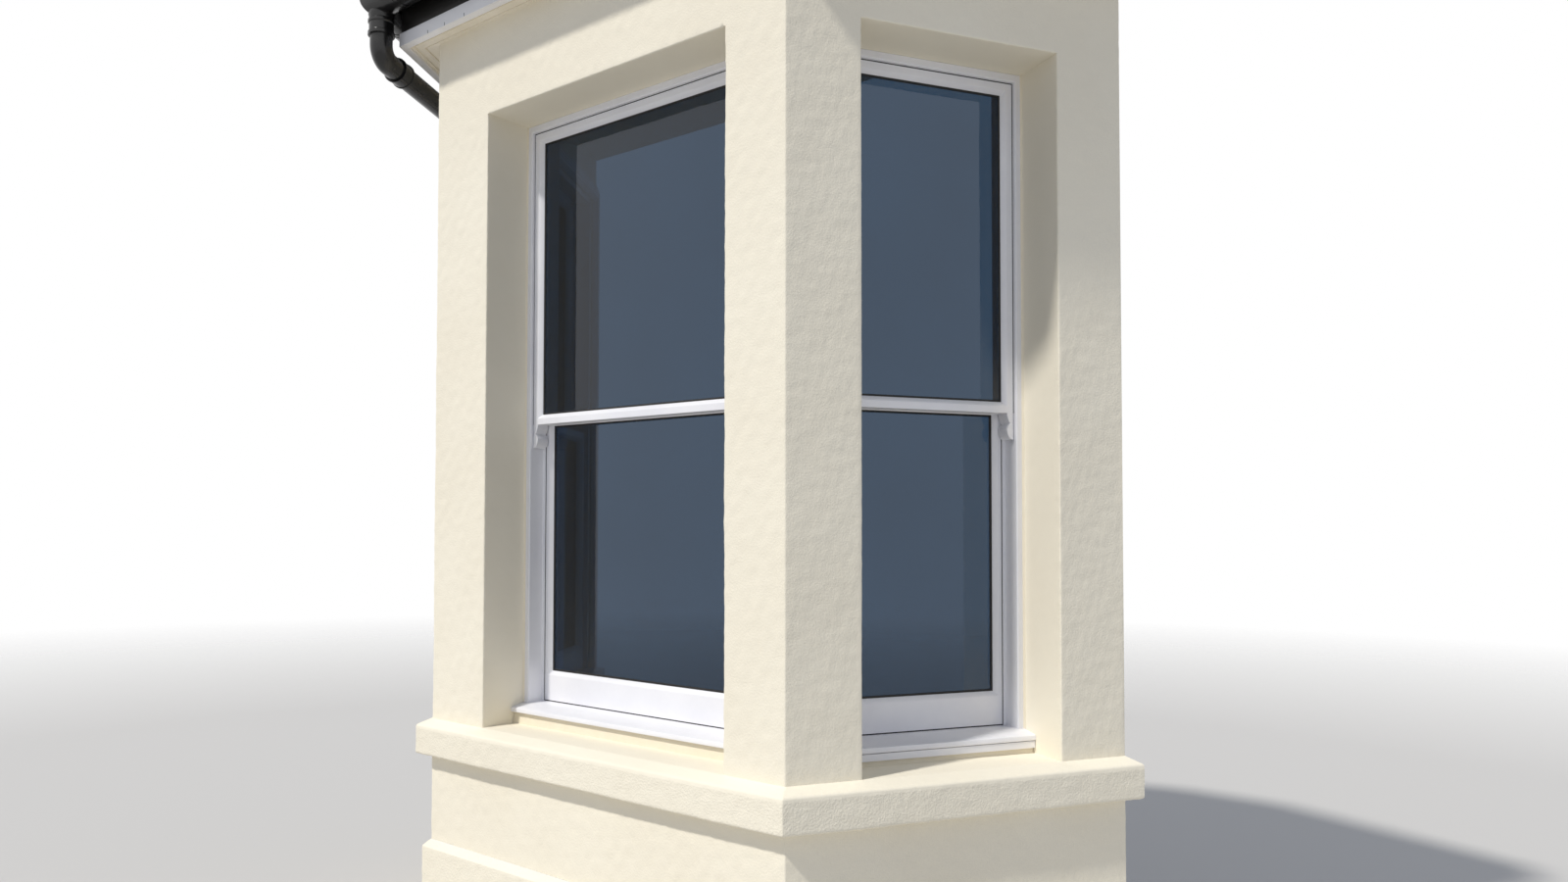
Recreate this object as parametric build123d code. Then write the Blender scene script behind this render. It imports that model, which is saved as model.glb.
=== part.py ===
"""Canted bay window: rendered masonry, three sliding sash windows, eaves, gutter and hipped roof.

Millimetres, +Z up from the ground, X to the right seen from outside, Y into the house.
The origin is on the ground, in the middle of the front wall's thickness.
"""

import math
import os

from build123d import *

os.makedirs("parts", exist_ok=True)

# Plan of the bay.
HALF_FRONT = 640.0
PROJECTION = 792.0
CANT_DEG = 60.0
WALL = 260.0
FRONT_Y = -130.0
HOUSE_Y = FRONT_Y + PROJECTION
CANT_LENGTH = PROJECTION / math.sin(math.radians(CANT_DEG))
MITRE = math.tan(math.radians(CANT_DEG / 2))

# Heights of the masonry courses.
PLINTH_OUTER_TOP = 314.0
PLINTH_TOP = 332.0
SILL_BOTTOM = 582.0
SILL_OUTER_TOP = 665.0
SILL_TOP = 680.0
HEAD = 2409.0
SOFFIT = 2670.0

# Projections of the courses in front of the wall.
PLINTH_OUT = 22.0
SILL_OUT = 41.0

# Openings, by the piers that stand beside them: spans along the front from its middle,
# and along each cant from its front corner.
FRONT_LEFT_PIER = 232.0
FRONT_RIGHT_PIER = 175.0
CANT_NEAR_PIER = 189.0
CANT_FAR_PIER = 188.5
FRONT_OPEN = (FRONT_LEFT_PIER - HALF_FRONT, HALF_FRONT - FRONT_RIGHT_PIER)
CANT_OPEN = (CANT_NEAR_PIER, CANT_LENGTH - CANT_FAR_PIER)

# Windows: depths behind the wall face, and sizes of their members.
REVEAL = 146.0
FRAME_BACK = 254.0
FRAME_SIDE = 20.0
SASH_GAP = 3.0
SASH_DEEP = 40.0
UPPER_FACE = 156.0
SASH_APART = 4.0
LOWER_FACE = UPPER_FACE + SASH_DEEP + SASH_APART
STILE = 30.0
MEETING_LOW = 855.0
MEETING_RAIL = 30.0
MEETING_TOP = MEETING_LOW + MEETING_RAIL
LOWER_TOP = MEETING_TOP + 3.0
LOWER_TOP_RAIL = 35.0
BOTTOM_RAIL = 89.0
PARTING_BEAD = 9.0
PANE = 6.0
PANE_BACK = 14.0
HORN = 68.0
HORN_WIDE = 18.0

# Window cills, and the boards inside.
CILL_NOSE = 100.0
CILL_NOSE_HIGH = 14.0
CILL_LOW = 32.0
CILL_TOP = 54.0
DRIP_BACK = 6.0
DRIP = 6.0
BED_BACK = 14.0
INNER_BOARD_OUT = 50.0
INNER_BOARD_THICK = 25.0

# Floor and ceiling.
FLOOR_TOP = 262.0
FLOOR_THICK = 22.0
CEILING_BELOW_SOFFIT = 110.0
CEILING_THICK = 15.0

# Eaves: the boards stand out further on the cants than on the front.
EAVES_EXTRA = 35.0
BOARD_FACE = 76.0
BOARD_THICK = 18.0
BOARD_LOW = SOFFIT - 8.0
BOARD_HIGH = 160.0
BOARD_TOP = BOARD_LOW + BOARD_HIGH
TRIM_THICK = 4.0
TRIM_HIGH = 40.0
SOFFIT_THICK = 12.0

# Gutter and rainwater pipe.
GUTTER_R = 50.0
GUTTER_THICK = 2.5
STRAP = 3.0
GUTTER_OFF = BOARD_FACE + GUTTER_R + STRAP
GUTTER_Z = BOARD_TOP - 25.0
GUTTER_END = 6.0
END_PLATE = 4.0
BRACKET_WIDE = 22.0
BRACKET_PLATE_HIGH = 48.0
FRONT_BRACKETS = (-520.0, 0.0, 520.0)
CANT_BRACKETS = (170.0, 720.0)
PIPE_R = 32.5
PIPE_THICK = 2.5
PIPE_OFF = 82.0
PIPE_ALONG = 820.0
COLLAR = 6.0
COLLAR_R = PIPE_R + COLLAR
OUTLET_BORE_R = PIPE_R - 4.0
OUTLET_INSET = 4.0
OUTLET_HIGH = 62.0
SOCKET = 40.0
NECK_BELOW_OUTLET = 65.0
NECK_FALL = math.tan(math.radians(3.0))
NECK_TAIL = 90.0
NECK_BEND = 42.0
PIPE_SOCKET = 60.0
SHOE_TOP = 190.0
SHOE_SOCKET = 45.0
SHOE_TURN = 110.0
SHOE_END = 55.0
SHOE_OUT = 85.0
SHOE_BEND = 30.0
CLIP_HIGH = 28.0
CLIP_THICK = 4.0

# Roof.
PITCH = math.tan(math.radians(30.0))
ROOF_THICK = 36.0
ROOF_OVER = 40.0
HIP_R = 24.0
HIP_LIFT = 8.0
LEAD = 4.0
APRON_DEEP = 130.0
UPSTAND_HIGH = 110.0

# Longer than anything here: for sections and cutting shapes that run past the bay.
BEYOND = 2.0 * (SOFFIT + PROJECTION)


class Side:
    """One face of the bay: where its front corner is and which way it runs."""

    def __init__(self, origin, along, outward):
        self.origin = Vector(*origin)
        self.along = Vector(*along)
        self.outward = Vector(*outward)


C60 = math.cos(math.radians(CANT_DEG))
S60 = math.sin(math.radians(CANT_DEG))
FRONT = Side((0, FRONT_Y, 0), (1, 0, 0), (0, -1, 0))
RIGHT = Side((HALF_FRONT, FRONT_Y, 0), (C60, S60, 0), (S60, -C60, 0))


def save(shape, name):
    export_step(shape, f"parts/{name}.step")


def poly_prism(points, low, high):
    """Upright prism on a plan polygon."""
    face = make_face(Plane.XY.offset(low) * Polyline(*points, close=True))
    return extrude(face, amount=high - low, dir=(0, 0, 1))


def sector(side, extra=0.0):
    """All the space that belongs to one face, cut at the mitres and at the house wall."""
    half = HALF_FRONT + extra / S60
    tip = (half + PROJECTION * MITRE, FRONT_Y - PROJECTION)
    foot = (half - PROJECTION * MITRE, HOUSE_Y)
    if side is FRONT:
        points = [(-tip[0], tip[1]), tip, foot, (-foot[0], foot[1])]
    else:
        points = [tip, (BEYOND, tip[1]), (BEYOND, HOUSE_Y), foot]
    return poly_prism(points, -BEYOND, 2 * BEYOND)


def section_plane(side, extra=0.0):
    """Plane across one face: its x is the distance out of the wall, its y is height."""
    shift = extra if side is RIGHT else 0.0
    origin = side.origin + side.along * BEYOND + side.outward * shift
    return Plane(origin=origin, x_dir=side.outward, z_dir=side.along * -1)


def bar(face, side, extra=0.0, cut=True):
    """Run a section, drawn as (distance out, height), along one face."""
    placed = section_plane(side, extra) * face
    solid = extrude(placed, amount=2 * BEYOND, dir=side.along * -1)
    return solid & sector(side, extra) if cut else solid


def outline(*points):
    return make_face(Polyline(*points, close=True))


def mirrored(shape):
    return mirror(shape, about=Plane.YZ)


def local_box(s0, s1, d0, d1, z0, z1):
    """Box in a face's own frame: along the face, depth behind it, height."""
    return Pos((s0 + s1) / 2, (d0 + d1) / 2, (z0 + z1) / 2) * Box(s1 - s0, d1 - d0, z1 - z0)


def place(shape, side):
    plane = Plane(origin=side.origin, x_dir=side.along, z_dir=(0, 0, 1))
    return plane.location * shape


def save_three(face, stem, extra=0.0, trim=None):
    """The same section on the front and both cants, as three mitred pieces."""
    front = bar(face, FRONT, extra)
    right = bar(face, RIGHT, extra)
    if trim is not None:
        front = trim(front)
        right = trim(right)
    save(front, f"{stem}_front")
    save(mirrored(right), f"{stem}_left")
    save(right, f"{stem}_right")


# Masonry courses.
plinth = outline(
    (-WALL, 0), (PLINTH_OUT, 0), (PLINTH_OUT, PLINTH_OUTER_TOP), (0, PLINTH_TOP), (-WALL, PLINTH_TOP)
)
save_three(plinth, "plinth")
dado = outline((-WALL, PLINTH_TOP), (0, PLINTH_TOP), (0, SILL_BOTTOM), (-WALL, SILL_BOTTOM))
save_three(dado, "dado")
sill = outline(
    (-WALL, SILL_BOTTOM), (SILL_OUT, SILL_BOTTOM), (SILL_OUT, SILL_OUTER_TOP), (0, SILL_TOP), (-WALL, SILL_TOP)
)
save_three(sill, "sill")


def roof_low(off):
    """Height of the roof's underside over a point this far out of the wall base line."""
    return BOARD_TOP + (BOARD_FACE - off) * PITCH


above = outline(
    (PROJECTION, roof_low(PROJECTION)),
    (PROJECTION, BEYOND),
    (-2 * PROJECTION, BEYOND),
    (-2 * PROJECTION, roof_low(-2 * PROJECTION)),
)
above_front = bar(above, FRONT, EAVES_EXTRA, cut=False)
above_right = bar(above, RIGHT, EAVES_EXTRA, cut=False)


def under_roof(shape):
    return shape - above_front - above_right


head = outline((-WALL, HEAD), (0, HEAD), (0, BEYOND), (-WALL, BEYOND))
save_three(head, "head", trim=under_roof)

# Piers stand between the openings.
shell = outline((-WALL, SILL_TOP), (0, SILL_TOP), (0, HEAD), (-WALL, HEAD))
front_shell = bar(shell, FRONT)
right_shell = bar(shell, RIGHT)
keep_right = place(local_box(FRONT_OPEN[1], BEYOND, -BEYOND, BEYOND, 0, BEYOND), FRONT)
keep_left = place(local_box(-BEYOND, FRONT_OPEN[0], -BEYOND, BEYOND, 0, BEYOND), FRONT)
keep_near = place(local_box(-BEYOND, CANT_OPEN[0], -BEYOND, BEYOND, 0, BEYOND), RIGHT)
keep_far = place(local_box(CANT_OPEN[1], BEYOND, -BEYOND, BEYOND, 0, BEYOND), RIGHT)
near_pier = right_shell & keep_near
far_pier = right_shell & keep_far
save((front_shell & keep_right) + near_pier, "right_corner_pier")
save((front_shell & keep_left) + mirrored(near_pier), "left_corner_pier")
save(far_pier, "right_end_pier")
save(mirrored(far_pier), "left_end_pier")


# Windows.
def ring(s0, s1, d0, d1, z0, z1, sides, low, high):
    whole = local_box(s0, s1, d0, d1, z0, z1)
    hole = local_box(s0 + sides, s1 - sides, d0 - WALL, d1 + WALL, z0 + low, z1 - high)
    return whole - hole


def horn(s_edge, inward, z_top):
    """Ogee end of a sash stile below the meeting rail: waisted, then full, then cut back."""
    w = HORN_WIDE * inward
    pts = [
        (s_edge, z_top),
        (s_edge + w, z_top),
        (s_edge + w * 0.92, z_top - 0.10 * HORN),
        (s_edge + w * 0.68, z_top - 0.26 * HORN),
        (s_edge + w * 0.60, z_top - 0.44 * HORN),
        (s_edge + w * 0.76, z_top - 0.58 * HORN),
        (s_edge + w * 0.80, z_top - 0.72 * HORN),
        (s_edge + w * 0.66, z_top - 0.88 * HORN),
        (s_edge + w * 0.38, z_top - HORN),
        (s_edge, z_top - HORN),
    ]
    face = make_face(Plane.XZ.offset(-UPPER_FACE) * Polyline(*pts, close=True))
    return extrude(face, amount=SASH_DEEP, dir=(0, 1, 0))


def window(side, span, stem, flip):
    a, b = span
    z0 = SILL_TOP

    def out(shape, name):
        placed = place(shape, side)
        save(mirrored(placed) if flip else placed, f"{stem}_{name}")

    frame = local_box(a, b, REVEAL, FRAME_BACK, z0 + CILL_TOP, HEAD)
    frame -= local_box(
        a + FRAME_SIDE, b - FRAME_SIDE, 0, FRAME_BACK + WALL, z0, HEAD - FRAME_SIDE
    )
    bead_in = FRAME_SIDE + PARTING_BEAD
    bead = local_box(a, b, UPPER_FACE + SASH_DEEP, LOWER_FACE, z0 + CILL_TOP, HEAD)
    bead -= local_box(a + bead_in, b - bead_in, REVEAL, FRAME_BACK, z0, HEAD - bead_in)
    out(frame + bead, "frame")

    s0, s1 = a + FRAME_SIDE + SASH_GAP, b - FRAME_SIDE - SASH_GAP
    top = HEAD - FRAME_SIDE - SASH_GAP
    up = ring(
        s0, s1, UPPER_FACE, UPPER_FACE + SASH_DEEP, z0 + MEETING_LOW, top, STILE, MEETING_RAIL, STILE
    )
    up += horn(s0, 1, z0 + MEETING_LOW)
    up += horn(s1, -1, z0 + MEETING_LOW)
    out(up, "upper_sash")
    low = ring(
        s0,
        s1,
        LOWER_FACE,
        LOWER_FACE + SASH_DEEP,
        z0 + CILL_TOP,
        z0 + LOWER_TOP,
        STILE,
        BOTTOM_RAIL,
        LOWER_TOP_RAIL,
    )
    out(low, "lower_sash")

    upper_pane = local_box(
        s0 + STILE,
        s1 - STILE,
        UPPER_FACE + PANE_BACK,
        UPPER_FACE + PANE_BACK + PANE,
        z0 + MEETING_TOP,
        top - STILE,
    )
    lower_pane = local_box(
        s0 + STILE,
        s1 - STILE,
        LOWER_FACE + PANE_BACK,
        LOWER_FACE + PANE_BACK + PANE,
        z0 + CILL_TOP + BOTTOM_RAIL,
        z0 + LOWER_TOP - LOWER_TOP_RAIL,
    )
    out(upper_pane + lower_pane, "glass")

    nose = [
        (CILL_NOSE, z0 + CILL_LOW),
        (CILL_NOSE, z0 + CILL_LOW + CILL_NOSE_HIGH),
        (REVEAL, z0 + CILL_TOP),
        (FRAME_BACK, z0 + CILL_TOP),
        (FRAME_BACK, z0 + CILL_LOW),
    ]
    face = make_face(Plane.YZ.offset(a) * Polyline(*nose, close=True))
    cill = extrude(face, amount=b - a, dir=(1, 0, 0))
    drip = CILL_NOSE + DRIP_BACK
    groove = local_box(a - DRIP, b + DRIP, drip, drip + DRIP, z0, z0 + CILL_LOW + DRIP - 1)
    out(cill - groove, "cill")
    return local_box(a, b, CILL_NOSE + BED_BACK, WALL, z0, z0 + CILL_LOW)


front_bed = place(window(FRONT, FRONT_OPEN, "front", False), FRONT)
right_bed = place(window(RIGHT, CANT_OPEN, "right", False), RIGHT)
window(RIGHT, CANT_OPEN, "left", True)
save(front_bed + right_bed + mirrored(right_bed), "cill_beds")

# Window boards run round the inside of the walls.
board_low = SILL_TOP + CILL_LOW
board_high = board_low + INNER_BOARD_THICK
board_nose = -WALL - INNER_BOARD_OUT
shelf = outline((board_nose, board_low), (-WALL, board_low), (-WALL, board_high), (board_nose, board_high))
tongue_back = WALL + 1
front_tongue = place(
    local_box(FRONT_OPEN[0], FRONT_OPEN[1], FRAME_BACK, tongue_back, board_low, board_high), FRONT
)
right_tongue = place(
    local_box(CANT_OPEN[0], CANT_OPEN[1], FRAME_BACK, tongue_back, board_low, board_high), RIGHT
)
right_shelf = bar(shelf, RIGHT)
right_tongue = right_tongue & sector(RIGHT)
save(bar(shelf, FRONT) + front_tongue, "window_board_front")
save(right_shelf + right_tongue, "window_board_right")
save(mirrored(right_shelf + right_tongue), "window_board_left")


# Ceiling and floor close the inside between the walls.
def inner_plan(low, high):
    corner = HALF_FRONT - WALL * MITRE
    end = HALF_FRONT + PROJECTION * C60 / S60 - WALL / S60
    return poly_prism(
        [(-corner, FRONT_Y + WALL), (corner, FRONT_Y + WALL), (end, HOUSE_Y), (-end, HOUSE_Y)], low, high
    )


ceiling_low = SOFFIT - CEILING_BELOW_SOFFIT
save(inner_plan(ceiling_low, ceiling_low + CEILING_THICK), "ceiling")
save(inner_plan(FLOOR_TOP - FLOOR_THICK, FLOOR_TOP), "floor_deck")

# Eaves boards.
soffit_face = outline(
    (-EAVES_EXTRA, SOFFIT),
    (BOARD_FACE - BOARD_THICK, SOFFIT),
    (BOARD_FACE - BOARD_THICK, SOFFIT + SOFFIT_THICK),
    (-EAVES_EXTRA, SOFFIT + SOFFIT_THICK),
)
soffit_right = bar(soffit_face, RIGHT, EAVES_EXTRA)
soffit_front = bar(soffit_face, FRONT, EAVES_EXTRA)
wall_core = outline((-WALL, 0), (0, 0), (0, BEYOND), (-WALL, BEYOND))
core = bar(wall_core, FRONT) + bar(wall_core, RIGHT) + mirrored(bar(wall_core, RIGHT))
soffit = soffit_front + soffit_right + mirrored(soffit_right)
save(soffit - core, "soffit")

board_face = outline(
    (BOARD_FACE - BOARD_THICK, BOARD_LOW),
    (BOARD_FACE, BOARD_LOW),
    (BOARD_FACE, BOARD_TOP),
    (BOARD_FACE - BOARD_THICK, BOARD_TOP + BOARD_THICK * PITCH),
)
board_right = bar(board_face, RIGHT, EAVES_EXTRA)
save(bar(board_face, FRONT, EAVES_EXTRA) + board_right + mirrored(board_right), "gutter_board")
trim_face = outline(
    (BOARD_FACE, BOARD_LOW),
    (BOARD_FACE + TRIM_THICK, BOARD_LOW),
    (BOARD_FACE + TRIM_THICK, BOARD_LOW + TRIM_HIGH),
    (BOARD_FACE, BOARD_LOW + TRIM_HIGH),
)
trim_right = bar(trim_face, RIGHT, EAVES_EXTRA)
save(bar(trim_face, FRONT, EAVES_EXTRA) + trim_right + mirrored(trim_right), "eaves_trim")

# Half-round gutter on all three faces.
centre = Pos(GUTTER_OFF, GUTTER_Z)
lower_half = Pos(GUTTER_OFF, GUTTER_Z - 2 * GUTTER_R) * Rectangle(8 * GUTTER_R, 4 * GUTTER_R)
trough = ((centre * Circle(GUTTER_R)) - (centre * Circle(GUTTER_R - GUTTER_THICK))) & lower_half
plug = (centre * Circle(GUTTER_R)) & lower_half
gutter_back = HOUSE_Y - GUTTER_END
short_of_house = Pos(0, gutter_back - BEYOND / 2, 0) * Box(2 * BEYOND, BEYOND, 2 * BEYOND)
plate_slab = Pos(0, gutter_back - END_PLATE / 2, 0) * Box(2 * BEYOND, END_PLATE, 2 * BEYOND)
gutter_side = bar(trough, RIGHT, EAVES_EXTRA) & short_of_house
end_plate = bar(plug, RIGHT, EAVES_EXTRA) & plate_slab
gutter = bar(trough, FRONT, EAVES_EXTRA) + gutter_side + mirrored(gutter_side)
gutter += end_plate
gutter += mirrored(end_plate)

# Outlet at the left mitre, swan neck, pipe and shoe.
eaves_half = HALF_FRONT + EAVES_EXTRA / S60
outlet_x = -(eaves_half + GUTTER_OFF * MITRE) + OUTLET_INSET
outlet_y = FRONT_Y - GUTTER_OFF + OUTLET_INSET
pipe_x = -(HALF_FRONT + PIPE_ALONG * C60 + PIPE_OFF * S60)
pipe_y = FRONT_Y + PIPE_ALONG * S60 - PIPE_OFF * C60
gutter_low = GUTTER_Z - GUTTER_R
outlet_low = gutter_low - OUTLET_HIGH
outlet_top = gutter_low + SOCKET / 2
save(gutter - Pos(outlet_x, outlet_y, gutter_low) * Cylinder(OUTLET_BORE_R, SOCKET), "gutter")

outlet = Pos(outlet_x, outlet_y, (outlet_top + outlet_low) / 2) * Cylinder(COLLAR_R, outlet_top - outlet_low)
outlet -= Pos(outlet_x, outlet_y, gutter_low) * Cylinder(OUTLET_BORE_R, 4 * OUTLET_HIGH)
outlet -= Pos(outlet_x, outlet_y, outlet_low) * Cylinder(PIPE_R, 2 * SOCKET)
solid_gutter = bar(plug, FRONT, EAVES_EXTRA) + mirrored(bar(plug, RIGHT, EAVES_EXTRA))
save(outlet - solid_gutter, "outlet")

neck_top = outlet_low + SOCKET
neck_turn = outlet_low - NECK_BELOW_OUTLET
neck_run = math.hypot(pipe_x - outlet_x, pipe_y - outlet_y)
neck_low_turn = neck_turn - neck_run * NECK_FALL
neck_end = neck_low_turn - NECK_TAIL
path = FilletPolyline(
    (outlet_x, outlet_y, neck_top),
    (outlet_x, outlet_y, neck_turn),
    (pipe_x, pipe_y, neck_low_turn),
    (pipe_x, pipe_y, neck_end),
    radius=NECK_BEND,
)
neck_plane = Plane(origin=path @ 0, z_dir=path % 0)
neck_outer = sweep(neck_plane * Circle(PIPE_R), path=path)
neck_inner = sweep(neck_plane * Circle(PIPE_R - PIPE_THICK), path=path)
save(neck_outer - neck_inner, "swan_neck")


def tube(radius, low, high, thick=PIPE_THICK):
    mid = (low + high) / 2
    ring_solid = Cylinder(radius, high - low) - Cylinder(radius - thick, 2 * (high - low))
    return Pos(pipe_x, pipe_y, mid) * ring_solid


pipe_low = SHOE_TOP - SHOE_SOCKET
pipe = tube(PIPE_R, pipe_low, neck_end)
pipe += tube(COLLAR_R, neck_end - PIPE_SOCKET, neck_end + SOCKET, thick=COLLAR)
save(pipe, "downpipe")

out_dir = RIGHT.outward
shoe_path = FilletPolyline(
    (pipe_x, pipe_y, pipe_low),
    (pipe_x, pipe_y, SHOE_TURN),
    (pipe_x - out_dir.X * SHOE_OUT, pipe_y + out_dir.Y * SHOE_OUT, SHOE_END),
    radius=SHOE_BEND,
)
shoe_plane = Plane(origin=shoe_path @ 0, z_dir=shoe_path % 0)
shoe = sweep(shoe_plane * Circle(PIPE_R), path=shoe_path)
shoe -= sweep(shoe_plane * Circle(PIPE_R - PIPE_THICK), path=shoe_path)
shoe += tube(COLLAR_R, SHOE_TOP - PIPE_SOCKET, SHOE_TOP, thick=COLLAR)
save(shoe, "pipe_shoe")

# Clips hold the pipe off the wall.
clip_heights = (neck_end - 2 * PIPE_SOCKET, (SILL_TOP + HEAD) / 2 - 190.0, SILL_BOTTOM - 130.0)
wall_x = pipe_x + out_dir.X * PIPE_OFF
wall_y = pipe_y - out_dir.Y * PIPE_OFF
clips = []
for z in clip_heights:
    grip = tube(PIPE_R + CLIP_THICK, z - CLIP_HIGH / 2, z + CLIP_HIGH / 2, thick=CLIP_THICK)
    arm_plane = Plane(
        origin=(wall_x, wall_y, z), x_dir=(0, 0, 1), z_dir=(-out_dir.X, out_dir.Y, 0)
    )
    reach = PIPE_OFF - PIPE_R - CLIP_THICK / 2
    arm = extrude(arm_plane * Rectangle(20, 12), amount=reach)
    foot = extrude(arm_plane * Rectangle(70, 30), amount=5.0)
    solid = grip + arm + foot
    solid -= Pos(pipe_x, pipe_y, z) * Cylinder(PIPE_R, 4 * CLIP_HIGH)
    clips.append(solid)
save(clips[0] + clips[1:], "pipe_clips")

# Gutter brackets: a strap round the trough and a plate on the board.
strap = ((centre * Circle(GUTTER_R + STRAP)) - (centre * Circle(GUTTER_R))) & lower_half
plate = Pos(BOARD_FACE + STRAP / 2, GUTTER_Z - BRACKET_PLATE_HIGH / 2) * Rectangle(STRAP, BRACKET_PLATE_HIGH)
strap_face = strap + plate
brackets = []
for side, spots, flip in (
    (FRONT, FRONT_BRACKETS, False),
    (RIGHT, CANT_BRACKETS, False),
    (RIGHT, CANT_BRACKETS, True),
):
    shape = bar(strap_face, side, EAVES_EXTRA, cut=False)
    for spot in spots:
        half_wide = BRACKET_WIDE / 2
        near = local_box(spot - half_wide, spot + half_wide, -PROJECTION, PROJECTION, 0, BEYOND)
        piece = shape & place(near, side)
        brackets.append(mirrored(piece) if flip else piece)
save(brackets[0] + brackets[1:], "gutter_brackets")

# Roof slopes, mitred at the hips.
edge = BOARD_FACE + ROOF_OVER
lift = ROOF_THICK * math.sqrt(1 + PITCH * PITCH)
slope = outline(
    (edge, roof_low(edge)),
    (edge, roof_low(edge) + lift),
    (-2 * PROJECTION, roof_low(-2 * PROJECTION) + lift),
    (-2 * PROJECTION, roof_low(-2 * PROJECTION)),
)
save_three(slope, "roof", EAVES_EXTRA)

# Lead hip rolls.
hip_start = Vector(eaves_half + edge * MITRE, FRONT_Y - edge, roof_low(edge) + lift)
run = PROJECTION + edge
hip_stop = Vector(hip_start.X - run * MITRE, HOUSE_Y, hip_start.Z + run * PITCH)
hip_dir = (hip_stop - hip_start).normalized()
hip_spare = 2 * HIP_R
hip_plane = Plane(origin=hip_start - hip_dir * hip_spare, z_dir=hip_dir)
hip_bar = extrude(hip_plane * Circle(HIP_R), amount=(hip_stop - hip_start).length + 2 * hip_spare)
hip_bar = Pos(0, 0, HIP_LIFT) * hip_bar
below = outline(
    (PROJECTION, -PROJECTION),
    (PROJECTION, roof_low(PROJECTION) + lift),
    (-2 * PROJECTION, roof_low(-2 * PROJECTION) + lift),
    (-2 * PROJECTION, -PROJECTION),
)
below_all = bar(below, FRONT, EAVES_EXTRA) + bar(below, RIGHT, EAVES_EXTRA)
over_roof = Pos(BEYOND / 2, (FRONT_Y - edge + HOUSE_Y) / 2, 0) * Box(BEYOND, run, 4 * BEYOND)
hip = (hip_bar - below_all) & over_roof
save(hip + mirrored(hip), "hip_rolls")

# Lead flashing: an upstand against the house wall and an apron over the slates.
apron = outline(
    (edge, roof_low(edge) + lift),
    (edge, roof_low(edge) + lift + LEAD),
    (-2 * PROJECTION, roof_low(-2 * PROJECTION) + lift + LEAD),
    (-2 * PROJECTION, roof_low(-2 * PROJECTION) + lift),
)
upstand = outline(
    (edge, roof_low(edge) + lift),
    (edge, roof_low(edge) + lift + UPSTAND_HIGH),
    (-2 * PROJECTION, roof_low(-2 * PROJECTION) + lift + UPSTAND_HIGH),
    (-2 * PROJECTION, roof_low(-2 * PROJECTION) + lift),
)


def wall_strip(face, depth):
    slab = Pos(0, HOUSE_Y - depth / 2, 0) * Box(2 * BEYOND, depth, 4 * BEYOND)
    right = bar(face, RIGHT, EAVES_EXTRA) & slab
    return (bar(face, FRONT, EAVES_EXTRA) & slab) + right + mirrored(right)


flashing = wall_strip(apron, APRON_DEEP) + wall_strip(upstand, LEAD)
flashing -= hip
flashing -= mirrored(hip)
save(flashing, "wall_flashing")
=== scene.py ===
"""Canted bay window: cream render, sliding sash windows, eaves, rainwater goods and a slate roof.

Metres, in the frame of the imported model: +Z up from the ground, X to the right seen from outside,
Y inwards, with the bay cut off at the plane BACK_Y. Every new piece is worked out with numpy as a
skin through rings of points, but for the slates, which are one array of wedges for each slope.
"""

import functools
import math

import bpy
import numpy as np
from mathutils import Matrix, Vector


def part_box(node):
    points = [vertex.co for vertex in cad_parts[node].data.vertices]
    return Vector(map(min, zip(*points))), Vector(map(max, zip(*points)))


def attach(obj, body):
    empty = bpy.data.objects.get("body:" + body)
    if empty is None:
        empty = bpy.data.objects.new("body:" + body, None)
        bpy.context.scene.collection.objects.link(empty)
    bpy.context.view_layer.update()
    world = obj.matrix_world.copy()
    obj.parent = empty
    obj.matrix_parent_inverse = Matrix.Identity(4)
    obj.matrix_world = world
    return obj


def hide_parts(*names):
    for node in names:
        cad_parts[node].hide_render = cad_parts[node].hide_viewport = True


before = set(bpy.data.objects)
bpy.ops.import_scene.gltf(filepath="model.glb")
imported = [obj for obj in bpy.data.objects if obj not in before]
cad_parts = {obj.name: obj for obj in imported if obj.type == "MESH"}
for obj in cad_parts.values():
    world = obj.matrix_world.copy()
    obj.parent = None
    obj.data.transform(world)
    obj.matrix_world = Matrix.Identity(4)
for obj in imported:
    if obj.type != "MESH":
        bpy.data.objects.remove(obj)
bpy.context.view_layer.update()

# Plan of the bay, read from the construction.
CANT = math.radians(60.0)
COS = math.cos(CANT)
SIN = math.sin(CANT)
MITRE = math.tan(CANT / 2)
FRONT_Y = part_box("dado_front")[0].y
HALF_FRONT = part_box("dado_front")[1].x
BACK_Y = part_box("wall_flashing")[1].y
CANT_LENGTH = (BACK_Y - FRONT_Y) / SIN
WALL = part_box("dado_front")[1].y - FRONT_Y

# Piers and inner mouldings end just short of the cut, each on a plane of its own.
PIER_BACK = BACK_Y - 0.0004
MOULDING_BACK = BACK_Y - 0.0010

# Heights and projections of the masonry courses.
PLINTH_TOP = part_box("plinth_front")[1].z
PLINTH_OUT = FRONT_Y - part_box("plinth_front")[0].y
PLINTH_SPLAY = 0.018
SILL_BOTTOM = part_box("sill_front")[0].z
SILL_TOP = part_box("sill_front")[1].z
SILL_OUT = FRONT_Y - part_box("sill_front")[0].y
SILL_SPLAY = 0.015
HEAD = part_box("head_front")[0].z
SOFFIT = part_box("soffit")[0].z

# Render: radii of its edges, the spacing of its points, how smooth the float leaves the upper
# faces, the bends in an arc, and how an opening's hem fades out and hides behind the piers.
ARRIS = 0.0032
CORNER = 0.0048
RENDER_STEP = 0.006
BROAD_STEP = 0.008
FLOATED = 0.62
ARC_BENDS = 4
HEM_FADE = 0.008
HEM_BACK = 0.010

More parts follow.
